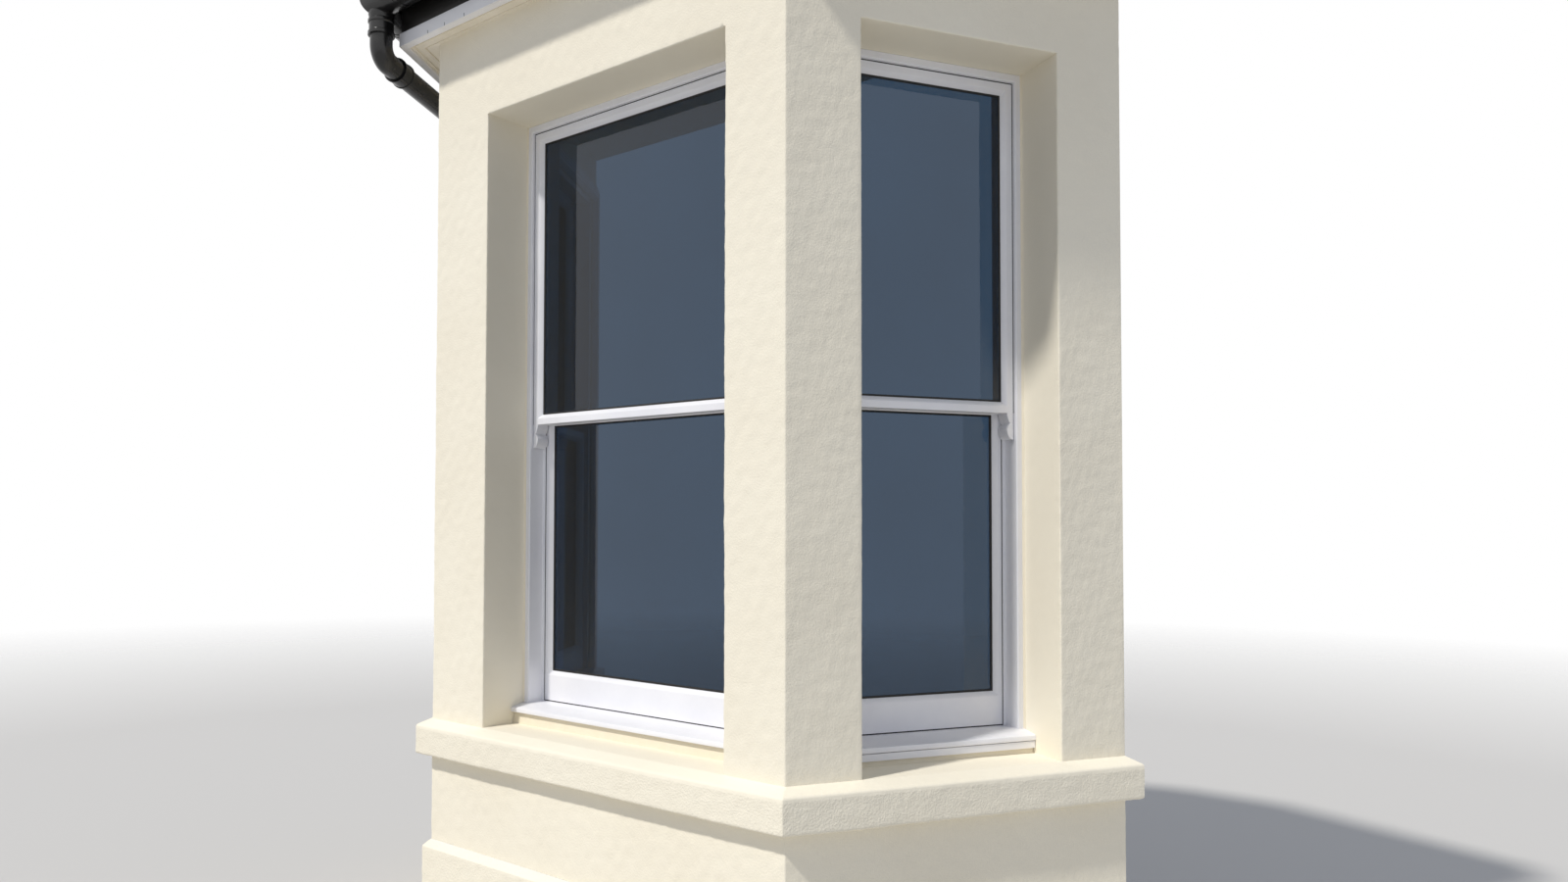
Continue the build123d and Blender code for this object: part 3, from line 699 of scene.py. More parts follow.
def make_courses():
    """Plinth, dado, sill band and head, each one band round the bay."""
    outer = PLINTH_TOP - PLINTH_SPLAY
    course(
        "plinth_render",
        [
            ((-WALL, 0), 0, 3, 0, 0, 1),
            ((PLINTH_OUT, 0), 0, divided(outer, BROAD_STEP), 1, 0, 0),
            ((PLINTH_OUT, outer), ARRIS, divided(0.028), 1, 0.3, 0),
            ((0, PLINTH_TOP), 0.004, 3, 0, 0, 1),
            ((-WALL, PLINTH_TOP), 0, 4, 0, 0, 1),
        ],
        three("plinth"),
    )
    course(
        "dado_render",
        [
            ((-WALL, PLINTH_TOP), 0, 3, 0, 0, 1),
            ((0, PLINTH_TOP), 0, divided(SILL_BOTTOM - PLINTH_TOP), 1, FLOATED, 0),
            ((0, SILL_BOTTOM), 0, 3, 0, 0, 1),
            ((-WALL, SILL_BOTTOM), 0, 4, 0, 0, 1),
        ],
        three("dado"),
    )
    nose = SILL_TOP - SILL_SPLAY
    course(
        "sill_band_render",
        [
            ((-WALL, SILL_BOTTOM), 0, 30, 0.4, 0.2, 0),
            ((SILL_OUT, SILL_BOTTOM), 0.006, divided(nose - SILL_BOTTOM), 1, 0, 0),
            ((SILL_OUT, nose), 0.008, 7, 0.6, 1, 0),
            ((0, SILL_TOP), 0.003, 26, 0.5, 1, 0),
            ((-WALL, SILL_TOP), 0, 4, 0, 1, 1),
        ],
        three("sill"),
    )
    top = roof_under(0.0)
    course(
        "head_render",
        [
            ((-WALL, HEAD), 0, 24, 0.3, 1, 0),
            ((0, HEAD), ARRIS, divided(top - HEAD, BROAD_STEP), 1, FLOATED, 0),
            ((0, top), 0, 3, 0, 0, 1),
            ((-WALL, roof_under(-WALL)), 0, 6, 0, 1, 1),
        ],
        three("head"),
        hem=1,
    )


def roof_under(off):
    """Height of the roof deck's underside over a line this far out of the wall."""
    return BOARD_TOP + (BOARD_FACE - EAVES_EXTRA - off) * PITCH - 0.004


def pier(name, sides, mirrored):
    """A pier: its plan outline, in rows as a course's, carried up from the sill to the head."""
    corners, radii, parts, *values = zip(*sides)
    plan, away, side = rounded(corners, radii, parts)
    amount, trowelled, indoors = (np.array(value, float)[side] for value in values)
    heights = np.linspace(SILL_TOP - 0.002, HEAD, divided(HEAD - SILL_TOP) + 1)[:, None]
    shape = (len(heights), *plan.shape)
    turn = [-1, 1, 1] if mirrored else [1, 1, 1]
    rings = raised(np.broadcast_to(plan, shape), heights) * turn
    out = raised(np.broadcast_to(away, shape), 0.0) * turn
    rings = uneven(rings, out, np.broadcast_to(amount, shape[:2]))
    rings[..., 1] = np.minimum(rings[..., 1], PIER_BACK)
    masonry(f"{name}_render", rings, [name], trowelled, indoors)


def cant_point(s, d):
    """Plan point at s along the right cant and d behind it."""
    return (HALF_FRONT + s * COS - d * SIN, FRONT_Y + s * SIN + d * COS)


def make_piers():
    """Two corner piers, each bent round the bay's corner, and two end piers at the cut."""
    near, far = CANT_SPAN
    inner = HALF_FRONT - WALL * MITRE
    for label, edge, mirrored in (("right", FRONT_SPAN[1], False), ("left", -FRONT_SPAN[0], True)):
        bent = [
            ((edge, FRONT_Y), ARRIS, divided(HALF_FRONT - edge), 1, FLOATED, 0),
            ((HALF_FRONT, FRONT_Y), CORNER, divided(near), 1, FLOATED, 0),
            (cant_point(near, 0), ARRIS, 22, 0.4, 1, 0),
            (cant_point(near, WALL), 0, 6, 0, 1, 1),
            ((inner, FRONT_Y + WALL), 0, 3, 0, 1, 1),
            ((edge, FRONT_Y + WALL), 0, 22, 0.4, 1, 0),
        ]
        pier(f"{label}_corner_pier", bent, mirrored)
    deep = CANT_LENGTH - WALL * COS / SIN
    straight = [
        (cant_point(far, 0), ARRIS, divided(CANT_LENGTH - far), 1, FLOATED, 0),
        (cant_point(CANT_LENGTH, 0), 0, 8, 0, 1, 0),
        (cant_point(deep, WALL), 0, 1, 0, 1, 1),
        (cant_point(far, WALL), 0, 22, 0.4, 1, 0),
    ]
    pier("right_end_pier", straight, False)
    pier("left_end_pier", straight, True)


# Windows.
def surround(face, sides, profile, z_foot=None):
    """A section mitred round a rectangle.

    sides gives the outer rectangle's left, right, bottom and top and the widths of its members on
    the same sides. A profile point (share, inset, depth) lies in from the outer edge by that share
    of the member's width plus the inset. With z_foot both uprights stand at that height and there
    is no lower member. Without it the section closes on itself.
    """
    (left, right, low, high), (wide_left, wide_right, wide_low, wide_high) = sides
    share, inset, depth = np.asarray(profile, float).T
    in_left = left + share * wide_left + inset
    in_right = right - share * wide_right - inset
    in_high = high - share * wide_high - inset
    in_low = low + share * wide_low + inset
    if z_foot is not None:
        in_low = np.full_like(in_low, z_foot)
    rings = np.stack(
        [
            face.place(in_left, depth, in_low),
            face.place(in_left, depth, in_high),
            face.place(in_right, depth, in_high),
            face.place(in_right, depth, in_low),
        ]
    )
    return loft(rings, closed=z_foot is None)


def sash_section(face_depth, back_depth, glass_depth):
    """Section of a sash member: flat face, bevelled glazing bead, rebate and room side."""
    return [
        (0, 0.0000, back_depth),
        (0, 0.0000, face_depth),
        (1, -0.0125, face_depth),
        (1, -0.0112, face_depth + 0.0007),
        (1, -0.0028, face_depth + 0.0085),
        (1, 0.0, glass_depth - 0.0008),
        (1, 0.0, glass_depth + 0.0075),
        (1, -0.006, back_depth - 0.006),
        (1, -0.014, back_depth),
    ]


def horn_shape(face, edge, inward, tall, front, back):
    """Moulded end of a stile.

    Downwards its width falls on a cosine to a cusp, swells on a sine to its full width again and
    ends on a quarter of an ellipse.
    """
    cusp, belly, waist = 0.40, 0.64, 0.50
    top = MEETING_Z + 0.0005
    fall = np.concatenate([np.linspace(0, cusp, 9), np.linspace(cusp, 1, 19)[1:]])
    upper = 1 - (1 - waist) * (1 - np.cos(np.clip(fall / cusp, 0, 1) * math.pi / 2))
    swell = waist + (1 - waist) * np.sin(np.clip((fall - cusp) / (belly - cusp), 0, 1) * math.pi / 2)
    ending = np.sqrt(np.clip(1 - ((fall - belly) / (1 - belly)) ** 2, 0, 1)) * 0.94 + 0.06
    width = np.where(fall <= cusp, upper, np.where(fall < belly, swell, ending)) * HORN_WIDE
    z = top - fall * tall
    s = np.concatenate([edge + inward * width, [edge, edge]])
    z = np.concatenate([z, [z[-1], top]])
    return loft(np.stack([face.place(s, np.full_like(s, depth), z) for depth in (front, back)]))


def run(face, section, low, high):
    """A section (depth behind the face, height) carried straight along a face."""
    depth, height = np.asarray(section, float).T
    rings = np.stack([face.place(np.full_like(depth, s), depth, height) for s in (low, high)])
    return loft(rings)


def make_window(label, face):
    """One sliding sash window: lining, two sashes, seals and gaskets that also paint the shade in the gaps
    round the sashes and at the glass edges, panes, cill and pointing.
    """
    (start, reveal, foot), (stop, frame_back, head) = face.reach(f"{label}_frame")
    up_low, up_high = face.reach(f"{label}_upper_sash")
    dn_low, dn_high = face.reach(f"{label}_lower_sash")
    lip = up_low[0] - start - SASH_PLAY
    lining = [
        (0, 0.0, frame_back),
        (0, 0.0, reveal + 0.0015),
        (0, 0.0015, reveal),
        (0, lip - 0.0025, reveal),
        (0, lip, reveal + 0.0025),
        (0, lip, up_high[1] + 0.0004),
        (0, lip + 0.0085, up_high[1] + 0.0006),
        (0, lip + 0.0085, dn_low[1] - 0.0006),
        (0, lip, dn_low[1] - 0.0004),
        (0, lip, frame_back),
    ]
    opening = ((start, stop, foot, head), (0, 0, 0, 0))
    piece(
        f"{label}_frame_lining", surround(face, opening, lining, z_foot=foot), WHITE,
        [f"{label}_frame"], bevel=0.0006,
    )

    joint = dn_low[2] + SILL_JOINT
    upper = ((up_low[0], up_high[0], MEETING_Z, up_high[2]), (STILE, STILE, MEETING_RAIL, STILE))
    lower = (
        (dn_low[0], dn_high[0], joint, dn_high[2]),
        (STILE, STILE, BOTTOM_RAIL - SILL_JOINT, LOWER_TOP_RAIL),
    )
    horns = [
        horn_shape(face, edge, inward, MEETING_Z - up_low[2], up_low[1], up_high[1])
        for edge, inward in ((up_low[0], 1), (up_high[0], -1))
    ]
    gaskets_and_edge_shade, seals_and_gap_shade, panes = [], [], []
    for which, sides, front, back, more in (
        ("upper", upper, up_low[1], up_high[1], horns),
        ("lower", lower, dn_low[1], dn_high[1], []),
    ):
        glass = front + PANE_BACK
        sash = surround(face, sides, sash_section(front, back, glass))
        piece(
            f"{label}_{which}_sash_white", together([sash, *more]), WHITE,
            [f"{label}_{which}_sash"], bevel=0.0007,
        )
        # The glazing gasket is widened to take in the dark spacer bar and the painted shade at the glass
        # edge.
        gasket = [
            (1, -0.0015, glass - 0.0030),
            (1, 0.0028, glass - 0.0024),
            (1, 0.0040, glass - 0.0006),
            (1, 0.0040, glass - 0.0001),
            (1, -0.0015, glass - 0.0001),
        ]
        gaskets_and_edge_shade.append(surround(face, sides, gasket))
        (left, right, bottom, top), (wide_left, wide_right, wide_low, wide_high) = sides
        around = ((left - SASH_PLAY, right + SASH_PLAY, bottom - SASH_PLAY, top + SASH_PLAY), (0, 0, 0, 0))
        # Black seal filling the gap round the sash: a brush seal, and painted shade in that gap.
        near, far = front + 0.0016, front + SEAL_AND_SHADE_DEEP
        seal_and_gap_shade = [(0, 0.0001, near), (0, 0.0029, near), (0, 0.0029, far), (0, 0.0001, far)]
        seals_and_gap_shade.append(surround(face, around, seal_and_gap_shade, z_foot=bottom + 0.001))
        wide = (left + wide_left, right - wide_right)
        panes.append(block(face, wide, (glass, glass + PANE_THICK), (bottom + wide_low, top - wide_high)))
    # Black strip filling the joint under the lower sash: a seal, and the painted shade of that joint.
    under = (dn_low[1] + 0.0020, dn_low[1] + SEAL_AND_SHADE_DEEP)
    seals_and_gap_shade.append(block(face, (dn_low[0], dn_high[0]), under, (dn_low[2] - 0.001, joint + 0.0005)))
    # Thin black strips at the lower sash's edges: brush pile, and painted shade in the gap beside the
    # frame lip.
    pile_and_gap_shade = (dn_low[1] - 0.0009, dn_low[1] + 0.0002)
    for edge in (start + lip + 0.0092, stop - lip - 0.0092):
        seals_and_gap_shade.append(block(face, (edge - 0.0009, edge + 0.0009), pile_and_gap_shade, (joint, MEETING_Z)))
    piece(f"{label}_gaskets", together(gaskets_and_edge_shade + seals_and_gap_shade), GASKET)
    piece(f"{label}_panes", together(panes), GLASS, [f"{label}_glass"], smooth=20)

    make_cill(label, face)
    pointing = []
    for edge, inward in ((start, 1), (stop, -1)):
        s = np.array([edge, edge + inward * POINTING, edge])
        d = np.array([reveal - POINTING, reveal, reveal])
        pointing.append(loft(np.stack([face.place(s, d, np.full(3, z)) for z in (foot, head)])))
    piece(f"{label}_mastic", together(pointing), MASTIC)


def make_cill(label, face):
    """Window cill: sloped top, rounded nose, drip groove and, on the cants, a packer below it."""
    (start, nose, bottom), (stop, back, top) = face.reach(f"{label}_cill")
    reveal = face.reach(f"{label}_frame")[0][1]
    fall = top - 0.008
    drip = bottom + 0.005
    section = [
        (back, bottom),
        (back, top),
        (reveal, top),
        (nose + 0.003, fall),
        (nose + 0.0008, fall - 0.0012),
        (nose, fall - 0.0036),
        (nose, bottom + 0.0015),
        (nose + 0.0015, bottom),
        (nose + 0.006, bottom),
        (nose + 0.006, drip),
        (nose + 0.012, drip),
        (nose + 0.012, bottom),
    ]
    parts = [run(face, section, start, stop)]
    bed_top = bottom
    if label != "front":
        bed_top = bottom - 0.0185
        packer = [
            (nose + 0.002, bed_top + 0.017),
            (nose + 0.002, bed_top),
            (nose + 0.013, bed_top),
            (nose + 0.013, bed_top + 0.017),
        ]
        parts.append(run(face, packer, start + 0.001, stop - 0.001))
    piece(f"{label}_cill_white", together(parts), WHITE, [f"{label}_cill"], bevel=0.0006)
    bed_low = SILL_TOP - 0.0005
    bed = [
        (nose + 0.0080, bed_low),
        (nose + 0.0125, bed_top),
        (nose + 0.0155, bed_top),
        (nose + 0.0155, bed_low),
    ]
    piece(f"{label}_bedding", run(face, bed, start + 0.001, stop - 0.001), MASTIC)


def make_architraves():
    """Fluted painted mouldings round the openings on the room side.

    The flutes are the upper halves of sine waves across the moulding's flat.
    """
    flat = WALL + 0.018
    flutes = np.linspace(0.008, 0.046, 21)
    depth = flat - 0.0035 * np.abs(np.sin((flutes - 0.008) / 0.038 * 3 * math.pi))
    profile = [
        (0, 0.0, WALL),
        (0, 0.0, WALL + 0.014),
        (0, 0.004, flat),
        *[(0, inset, back) for inset, back in zip(flutes, depth)],
        (0, 0.050, flat),
        (0, 0.056, WALL + 0.010),
        (0, 0.060, WALL),
    ]
    for label, face in WINDOWS.items():
        start, stop = FRONT_SPAN if label == "front" else CANT_SPAN
        low = face.reach(f"window_board_{label}")[1][2]
        around = (
            (start - ARCHITRAVE_OUT, stop + ARCHITRAVE_OUT, low, HEAD + ARCHITRAVE_OUT),
            (0, 0, 0, 0),
        )
        points, quads, ends = surround(face, around, profile, z_foot=low)
        points[:, 1] = np.minimum(points[:, 1], MOULDING_BACK)
        piece(f"{label}_architrave", (points, quads, ends), WHITE)


# Eaves.
def bay_band(section, half, step=0.03, radius=0.0008, stop=0.0):
    """A section (distance out, height) carried round the bay as one mitred band.

    With stop the band ends about that much short of the cut.
    """
    off, height = np.asarray(section, float).T
    line, _ = bay_lines(off, step, half=half, radius=radius)
    rings = raised(line, height)
    if stop:
        share = 1 - stop / step
        rings[0, :, :2] = rings[1, :, :2] + (rings[0, :, :2] - rings[1, :, :2]) * share
        rings[-1, :, :2] = rings[-2, :, :2] + (rings[-1, :, :2] - rings[-2, :, :2]) * share
    return loft(rings)


def make_eaves():
    """Soffit boards with a groove at each edge, the black gutter board and the white edge trim."""
    wall_side = -EAVES_EXTRA + 0.003
    board_back = BOARD_FACE - BOARD_THICK
    lap = SOFFIT + 0.001
    groove = 0.0035
    soffit = [
        (wall_side, SOFFIT + 0.012),
        (wall_side, lap),
        (0.012, lap),
        (0.0135, lap + groove),
        (0.0155, lap + groove),
        (0.017, SOFFIT),
        (board_back - 0.017, SOFFIT),
        (board_back - 0.0155, SOFFIT + groove),
        (board_back - 0.0135, SOFFIT + groove),
        (board_back - 0.012, SOFFIT),
        (board_back, SOFFIT),
        (board_back, SOFFIT + 0.012),
    ]
    piece("soffit_boards", bay_band(soffit, EAVES_HALF), CREAM, ["soffit"])

    board = [
        (board_back, BOARD_LOW + 0.001),
        (BOARD_FACE - 0.001, BOARD_LOW + 0.001),
        (BOARD_FACE, BOARD_LOW + 0.002),
        (BOARD_FACE, BOARD_TOP - 0.002),
        (BOARD_FACE - 0.002, BOARD_TOP),
        (board_back, BOARD_TOP + 0.008),
    ]
    piece("gutter_board_black", bay_band(board, EAVES_HALF), BOARD, ["gutter_board"])

    liner = [
        (board_back - 0.0025, BOARD_LOW),
        (BOARD_FACE - 0.0002, BOARD_LOW),
        (BOARD_FACE - 0.0002, BOARD_LOW + 0.0009),
        (board_back - 0.0002, BOARD_LOW + 0.0009),
        (board_back - 0.0002, SOFFIT - 0.0002),
        (board_back - 0.0025, SOFFIT - 0.0002),
    ]
    trim = [
        (BOARD_FACE + 0.0002, BOARD_LOW),
        (TRIM_OUT, BOARD_LOW),
        (TRIM_OUT, TRIM_TOP - 0.002),
        (BOARD_FACE + 0.0022, TRIM_TOP),
        (BOARD_FACE + 0.0002, TRIM_TOP),
    ]
    bands = [bay_band(section, EAVES_HALF) for section in (liner, trim)]
    piece("edge_trim_white", together(bands), TRIM, ["eaves_trim"], bevel=0.0004)

    deep = (-TRIM_OUT - 0.0002, -BOARD_FACE - 0.001)
    tall = (BOARD_LOW + 0.0003, BOARD_LOW + 0.010)
    joints = [block(FRONT, (s - 0.0009, s + 0.0009), deep, tall) for s in TRIM_JOINTS]
    piece("edge_trim_joints", together(joints), GASKET)


# Rainwater goods.
def gutter_section(radius, thick, lip):
    """Section (distance out, height) of the gutter: half a ring, open at the top.

    Each side ends in a lip, three quarters of a small circle.
    """
    angle = np.linspace(math.pi, 2 * math.pi, 25)
    outer = np.stack([radius * np.cos(angle), radius * np.sin(angle)], -1)
    inner = outer[::-1] * (radius - thick) / radius
    curl = np.linspace(0, 1.5 * math.pi, 9)
    front = np.stack([radius - lip + lip * np.cos(curl), lip * np.sin(curl)], -1)
    rear = front[::-1] * [-1, 1]
    return np.vstack([outer, front[1:], inner[1:-1], rear[:-1]]) + [GUTTER_OFF, GUTTER_RIM]


def make_gutter():
    """Half-round gutter on three sides, with a stop end at each end and unions near the corners."""
    trough = bay_band(gutter_section(GUTTER_R, GUTTER_WALL, 0.0040), EAVES_HALF, stop=0.008)
    ends = [stop_end(-1), stop_end(1)]
    piece("gutter_black", together([trough, *ends]), BLACK, ["gutter"])

    sleeve = gutter_section(GUTTER_R + 0.0015, 0.0022, 0.0042) * [-1, 1]
    bead = gutter_section(GUTTER_R + 0.0027, 0.0022, 0.0044) * [-1, 1]
    corner = EAVES_HALF + GUTTER_OFF * MITRE
    unions = []
    for side, s in (
        ("front", UNION_FRONT - corner),
        ("front", corner - UNION_FRONT),
        ("right", UNION_CANT),
        ("left", UNION_CANT),
    ):
        for section, wide in ((sleeve, 0.036), (bead, 0.007)):
            unions.append(run(EAVES[side], section, s - wide / 2, s + wide / 2))
    piece("gutter_unions", together(unions), BLACK, bevel=0.0005)


def stop_end(side):
    """Half disc that closes the gutter a little short of the cut."""
    angle = np.linspace(math.pi, 2 * math.pi, 25)
    disc = np.stack([np.cos(angle), np.sin(angle)], -1)
    disc = GUTTER_R * np.vstack([disc, [[1, 0.0], [-1, 0.0]]])
    off = GUTTER_OFF + disc[:, 0]
    corner = np.stack([EAVES_HALF + off * MITRE, FRONT_Y - off], -1)
    rings = []
    for back in (0.0065, 0.0105):
        length = (BACK_Y - back - corner[:, 1]) / SIN
        plan = corner + np.array([COS, SIN]) * length[:, None]
        rings.append(raised(plan * [side, 1], GUTTER_RIM + disc[:, 1]))
    return loft(np.stack(rings))


def centre_line(stops, radius, parts=10):
    """Straight runs joined by arcs: each inner corner is rounded by this radius."""
    stops = np.asarray(stops, float)
    path = [stops[0]]
    for before, corner, after in zip(stops[:-2], stops[1:-1], stops[2:]):
        a = (before - corner) / np.linalg.norm(before - corner)
        b = (after - corner) / np.linalg.norm(after - corner)
        half = math.acos(np.clip(a @ b, -1, 1)) / 2
        back = radius / math.tan(half)
        centre = corner + (a + b) / np.linalg.norm(a + b) * radius / math.sin(half)
        first = corner + a * back - centre
        last = corner + b * back - centre
        sweep = math.pi - 2 * half
        share = np.linspace(0, 1, parts + 1)[:, None]
        turned = np.sin((1 - share) * sweep) * first + np.sin(share * sweep) * last
        path.append(centre + turned / math.sin(sweep))
    path.append(stops[-1])
    return np.vstack([np.atleast_2d(p) for p in path])


def pipe_rings(path, radius, across, around=40):
    """Circles of a radius for each station, square to a path that lies in one upright plane."""
    step = np.gradient(path, axis=0)
    step /= np.linalg.norm(step, axis=1, keepdims=True)
    normal = np.cross(step, across)
    angle = np.linspace(0, 2 * math.pi, around, endpoint=False)
    radius = np.broadcast_to(radius, len(path))[:, None, None]
    circle = np.cos(angle)[None, :, None] * across + np.sin(angle)[None, :, None] * normal[:, None, :]
    return path[:, None, :] + radius * circle


def hollow_pipe(path, radius, across, thick=0.0025):
    """Tube wall: the outer circles along the path and the inner ones back again."""
    outer = pipe_rings(path, radius, across)
    inner = pipe_rings(path, np.broadcast_to(radius, len(path)) - thick, across)[::-1]
    return loft(np.concatenate([outer, inner]), closed=True)


def upright_sleeve(x, y, profile, around=40):
    """Turned ring: a closed section of (radius, height) carried round an upright axis."""
    radius, height = np.asarray(profile, float).T
    angle = np.linspace(0, 2 * math.pi, around, endpoint=False)
    rings = np.stack(
        [
            x + radius[None] * np.cos(angle)[:, None],
            y + radius[None] * np.sin(angle)[:, None],
            np.broadcast_to(height, (around, len(height))),
        ],
        -1,
    )
    return loft(rings, closed=True)


def socket_profile(inner, low, high):
    """Pipe socket: a body with a thicker ring at its mouth and one at its foot."""
    body = inner + 0.0045
    ring = inner + 0.0060
    return [
        (inner, low),
        (body - 0.002, low),
        (body, low + 0.003),
        (body, low + 0.010),
        (body, high - 0.016),
        (ring, high - 0.013),
        (ring, high - 0.002),
        (ring - 0.002, high),
        (inner, high),
    ]


def make_pipe():
    """Outlet, swan neck with a socket near each bend, and downpipe with a socket at its top."""
    low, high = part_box("outlet")
    x, y = (low.x + high.x) / 2, (low.y + high.y) / 2
    bottom, top = low.z, high.z
    bore = PIPE_R - 0.004
    body = COLLAR_R - 0.003
    collar = COLLAR_R - 0.001
    funnel = [
        (bore, top - 0.004),
        (PIPE_R + 0.001, top - 0.004),
        (PIPE_R + 0.001, bottom + 0.040),
        (PIPE_R, bottom + 0.038),
        (PIPE_R, bottom),
        (COLLAR_R, bottom),
        (COLLAR_R, bottom + 0.009),
        (body, bottom + 0.012),
        (body, bottom + 0.034),
        (COLLAR_R, bottom + 0.037),
        (COLLAR_R, bottom + 0.044),
        (body - 0.001, bottom + 0.048),
        (collar, top - 0.020),
        (collar, top - 0.010),
        (PIPE_R, top),
        (bore, top),
    ]
    piece("outlet_black", upright_sleeve(x, y, funnel), BLACK, ["outlet"], smooth=40)

    neck_low, neck_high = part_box("swan_neck")
    pipe_low, pipe_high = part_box("downpipe")
    px, py = (pipe_low.x + pipe_high.x) / 2, (pipe_low.y + pipe_high.y) / 2
    across = np.array([py - y, x - px, 0.0])
    distance = np.linalg.norm(across)
    across /= distance
    bend = bottom - NECK_DROP
    far_bend = bend - distance * NECK_FALL
    stops = np.array([(x, y, neck_high.z), (x, y, bend), (px, py, far_bend), (px, py, neck_low.z)])
    parts = [hollow_pipe(centre_line(stops, NECK_BEND), PIPE_R, across)]
    lean = stops[2] - stops[1]
    length = np.linalg.norm(lean)
    lean /= length
    # Each socket is a sleeve and a ring at either mouth: where it is, how wide and how thick.
    socket = ((0.0, 0.048, 0.0042), (-0.021, 0.006, 0.0060), (0.021, 0.006, 0.0060))
    for along in (NECK_SOCKET, length - NECK_SOCKET):
        for offset, wide, thick in socket:
            middle = stops[1] + lean * (along + offset)
            line = np.stack([middle - lean * wide / 2, middle + lean * wide / 2])
            parts.append(hollow_pipe(line, PIPE_R + thick, across, thick=thick + 0.001))
    piece(
        "swan_neck_black", together(parts), BLACK, ["swan_neck"],
        bevel=0.0006, smooth=40,
    )

    line = np.array([(px, py, pipe_low.z), (px, py, neck_low.z)])
    socket = socket_profile(PIPE_R, neck_low.z - SOCKET_DEEP, pipe_high.z)
    shapes = [hollow_pipe(line, PIPE_R, across), upright_sleeve(px, py, socket)]
    piece("downpipe_black", together(shapes), BLACK, ["downpipe"], smooth=40)


# Roof.
def roof_off(x, y):
    """How far plan points lie out of the lines that the eaves are measured from."""
    cant = (np.abs(x) - EAVES_HALF) * SIN - (y - FRONT_Y) * COS
    return np.maximum(FRONT_Y - y, cant)


def roof_height(off):
    """Height of the slopes' top surface over a line this far out."""
    return BOARD_TOP + (BOARD_FACE - off) * PITCH + ROOF_THICK * SLOPE


def slope_point(face, s, inward, up):
    """Point on a slope: s along the eaves, inward from the eaves in plan, up square to the slope."""
    depth = -ROOF_EDGE + inward - up * PITCH / SLOPE
    return face.place(s, depth, roof_height(ROOF_EDGE) + inward * PITCH + up / SLOPE)


def slope_ends(face, inward):
    """How far along the eaves a slope reaches, at a distance inward from its edge."""
    if face is FRONT:
        reach = EAVES_HALF + (ROOF_EDGE - inward) * MITRE
        return -reach, reach
    near = (inward - ROOF_EDGE) * MITRE
    far = (BACK_Y - FRONT_Y + (ROOF_EDGE - inward) * COS) / SIN
    return near, far - 0.002


def slate_rise(x, y):
    """How far the tail of a slate lifts the surface over plan points: a sawtooth up the slope.

    It is greatest at each tail and falls evenly to nothing at the next one, where lead dressed over
    the slates climbs again within a tenth of the course.
    """
    share = (ROOF_EDGE - roof_off(x, y)) * SLOPE / SLATE_GAUGE % 1.0
    return SLATE_STEP * np.maximum(1 - share, (share - 0.9) / 0.1)


def make_slates():
    """Slates in bonded courses: each is a thin wedge, its tail raised on the course below.

    A slate's ends are held between the hips, or the hip and the cut, at their own distance up the
    slope, so the ones at a hip are cut to it.
    """
    depth = BACK_Y - FRONT_Y + ROOF_EDGE
    gauge = SLATE_GAUGE / SLOPE
    rows = np.arange(-1, math.ceil(depth / gauge))
    columns = np.arange(-6, 10)
    row, column = (g.ravel() for g in np.meshgrid(rows, columns, indexing="ij"))
    start = (column + 0.5 * (row % 2)) * SLATE_WIDE + 0.04
    head = np.clip(row * gauge + SLATE_LONG / SLOPE, 0.02, depth - 0.002)
    sides = np.array([[0, 1, 5, 4], [1, 2, 6, 5], [2, 3, 7, 6], [3, 0, 4, 7], [3, 2, 1, 0], [4, 5, 6, 7]])
    chance = np.random.default_rng(7)
    for label, face in EAVES.items():
        tail = np.clip(row * gauge, 0.0, None) + chance.uniform(-0.0010, 0.0010, row.shape)
        tail = np.clip(tail, 0.0, None)
        lift = chance.uniform(0.0, 0.0012, row.shape)
        tail_up = np.where(row < 0, 0.0005, 0.0115) + lift
        thick = 0.0060 + chance.uniform(-0.0008, 0.0008, row.shape)
        tone = chance.random(row.shape)
        lefts, rights = [], []
        for up, inward in ((tail_up, tail), (tail_up + thick, tail), (0.0052 + lift, head), (lift, head)):
            low, high = slope_ends(face, inward)
            first = np.clip(start + SLATE_GAP / 2, low, high)
            last = np.clip(start + SLATE_WIDE - SLATE_GAP / 2, low, high)
            lefts.append(slope_point(face, first, inward, up))
            rights.append(slope_point(face, last, inward, up))
        left, right = np.stack(lefts, 1), np.stack(rights, 1)
        span = np.linalg.norm(right - left, axis=-1).max(1)
        keep = (span > 0.012) & (head > tail + 0.01)
        points = np.concatenate([left, right], 1)[keep]
        quads = (sides + 8 * np.arange(len(points))[:, None, None]).reshape(-1, 4)
        slates = outward_faces(points.reshape(-1, 3), quads, [])
        piece(
            f"slates_{label}", slates, SLATE, [f"roof_{label}"],
            values={"tone": np.repeat(tone[keep], 8)},
        )
    edge, ridge = ROOF_EDGE - 0.004, FRONT_Y - BACK_Y + 0.001
    deck = [
        (edge, roof_height(edge) - 0.028),
        (edge, roof_height(edge) - 0.002),
        (ridge, roof_height(ridge) - 0.002),
        (ridge, roof_height(ridge) - 0.028),
    ]
    piece("roof_deck", bay_band(deck, EAVES_HALF, step=0.05, radius=0.0005), FELT)


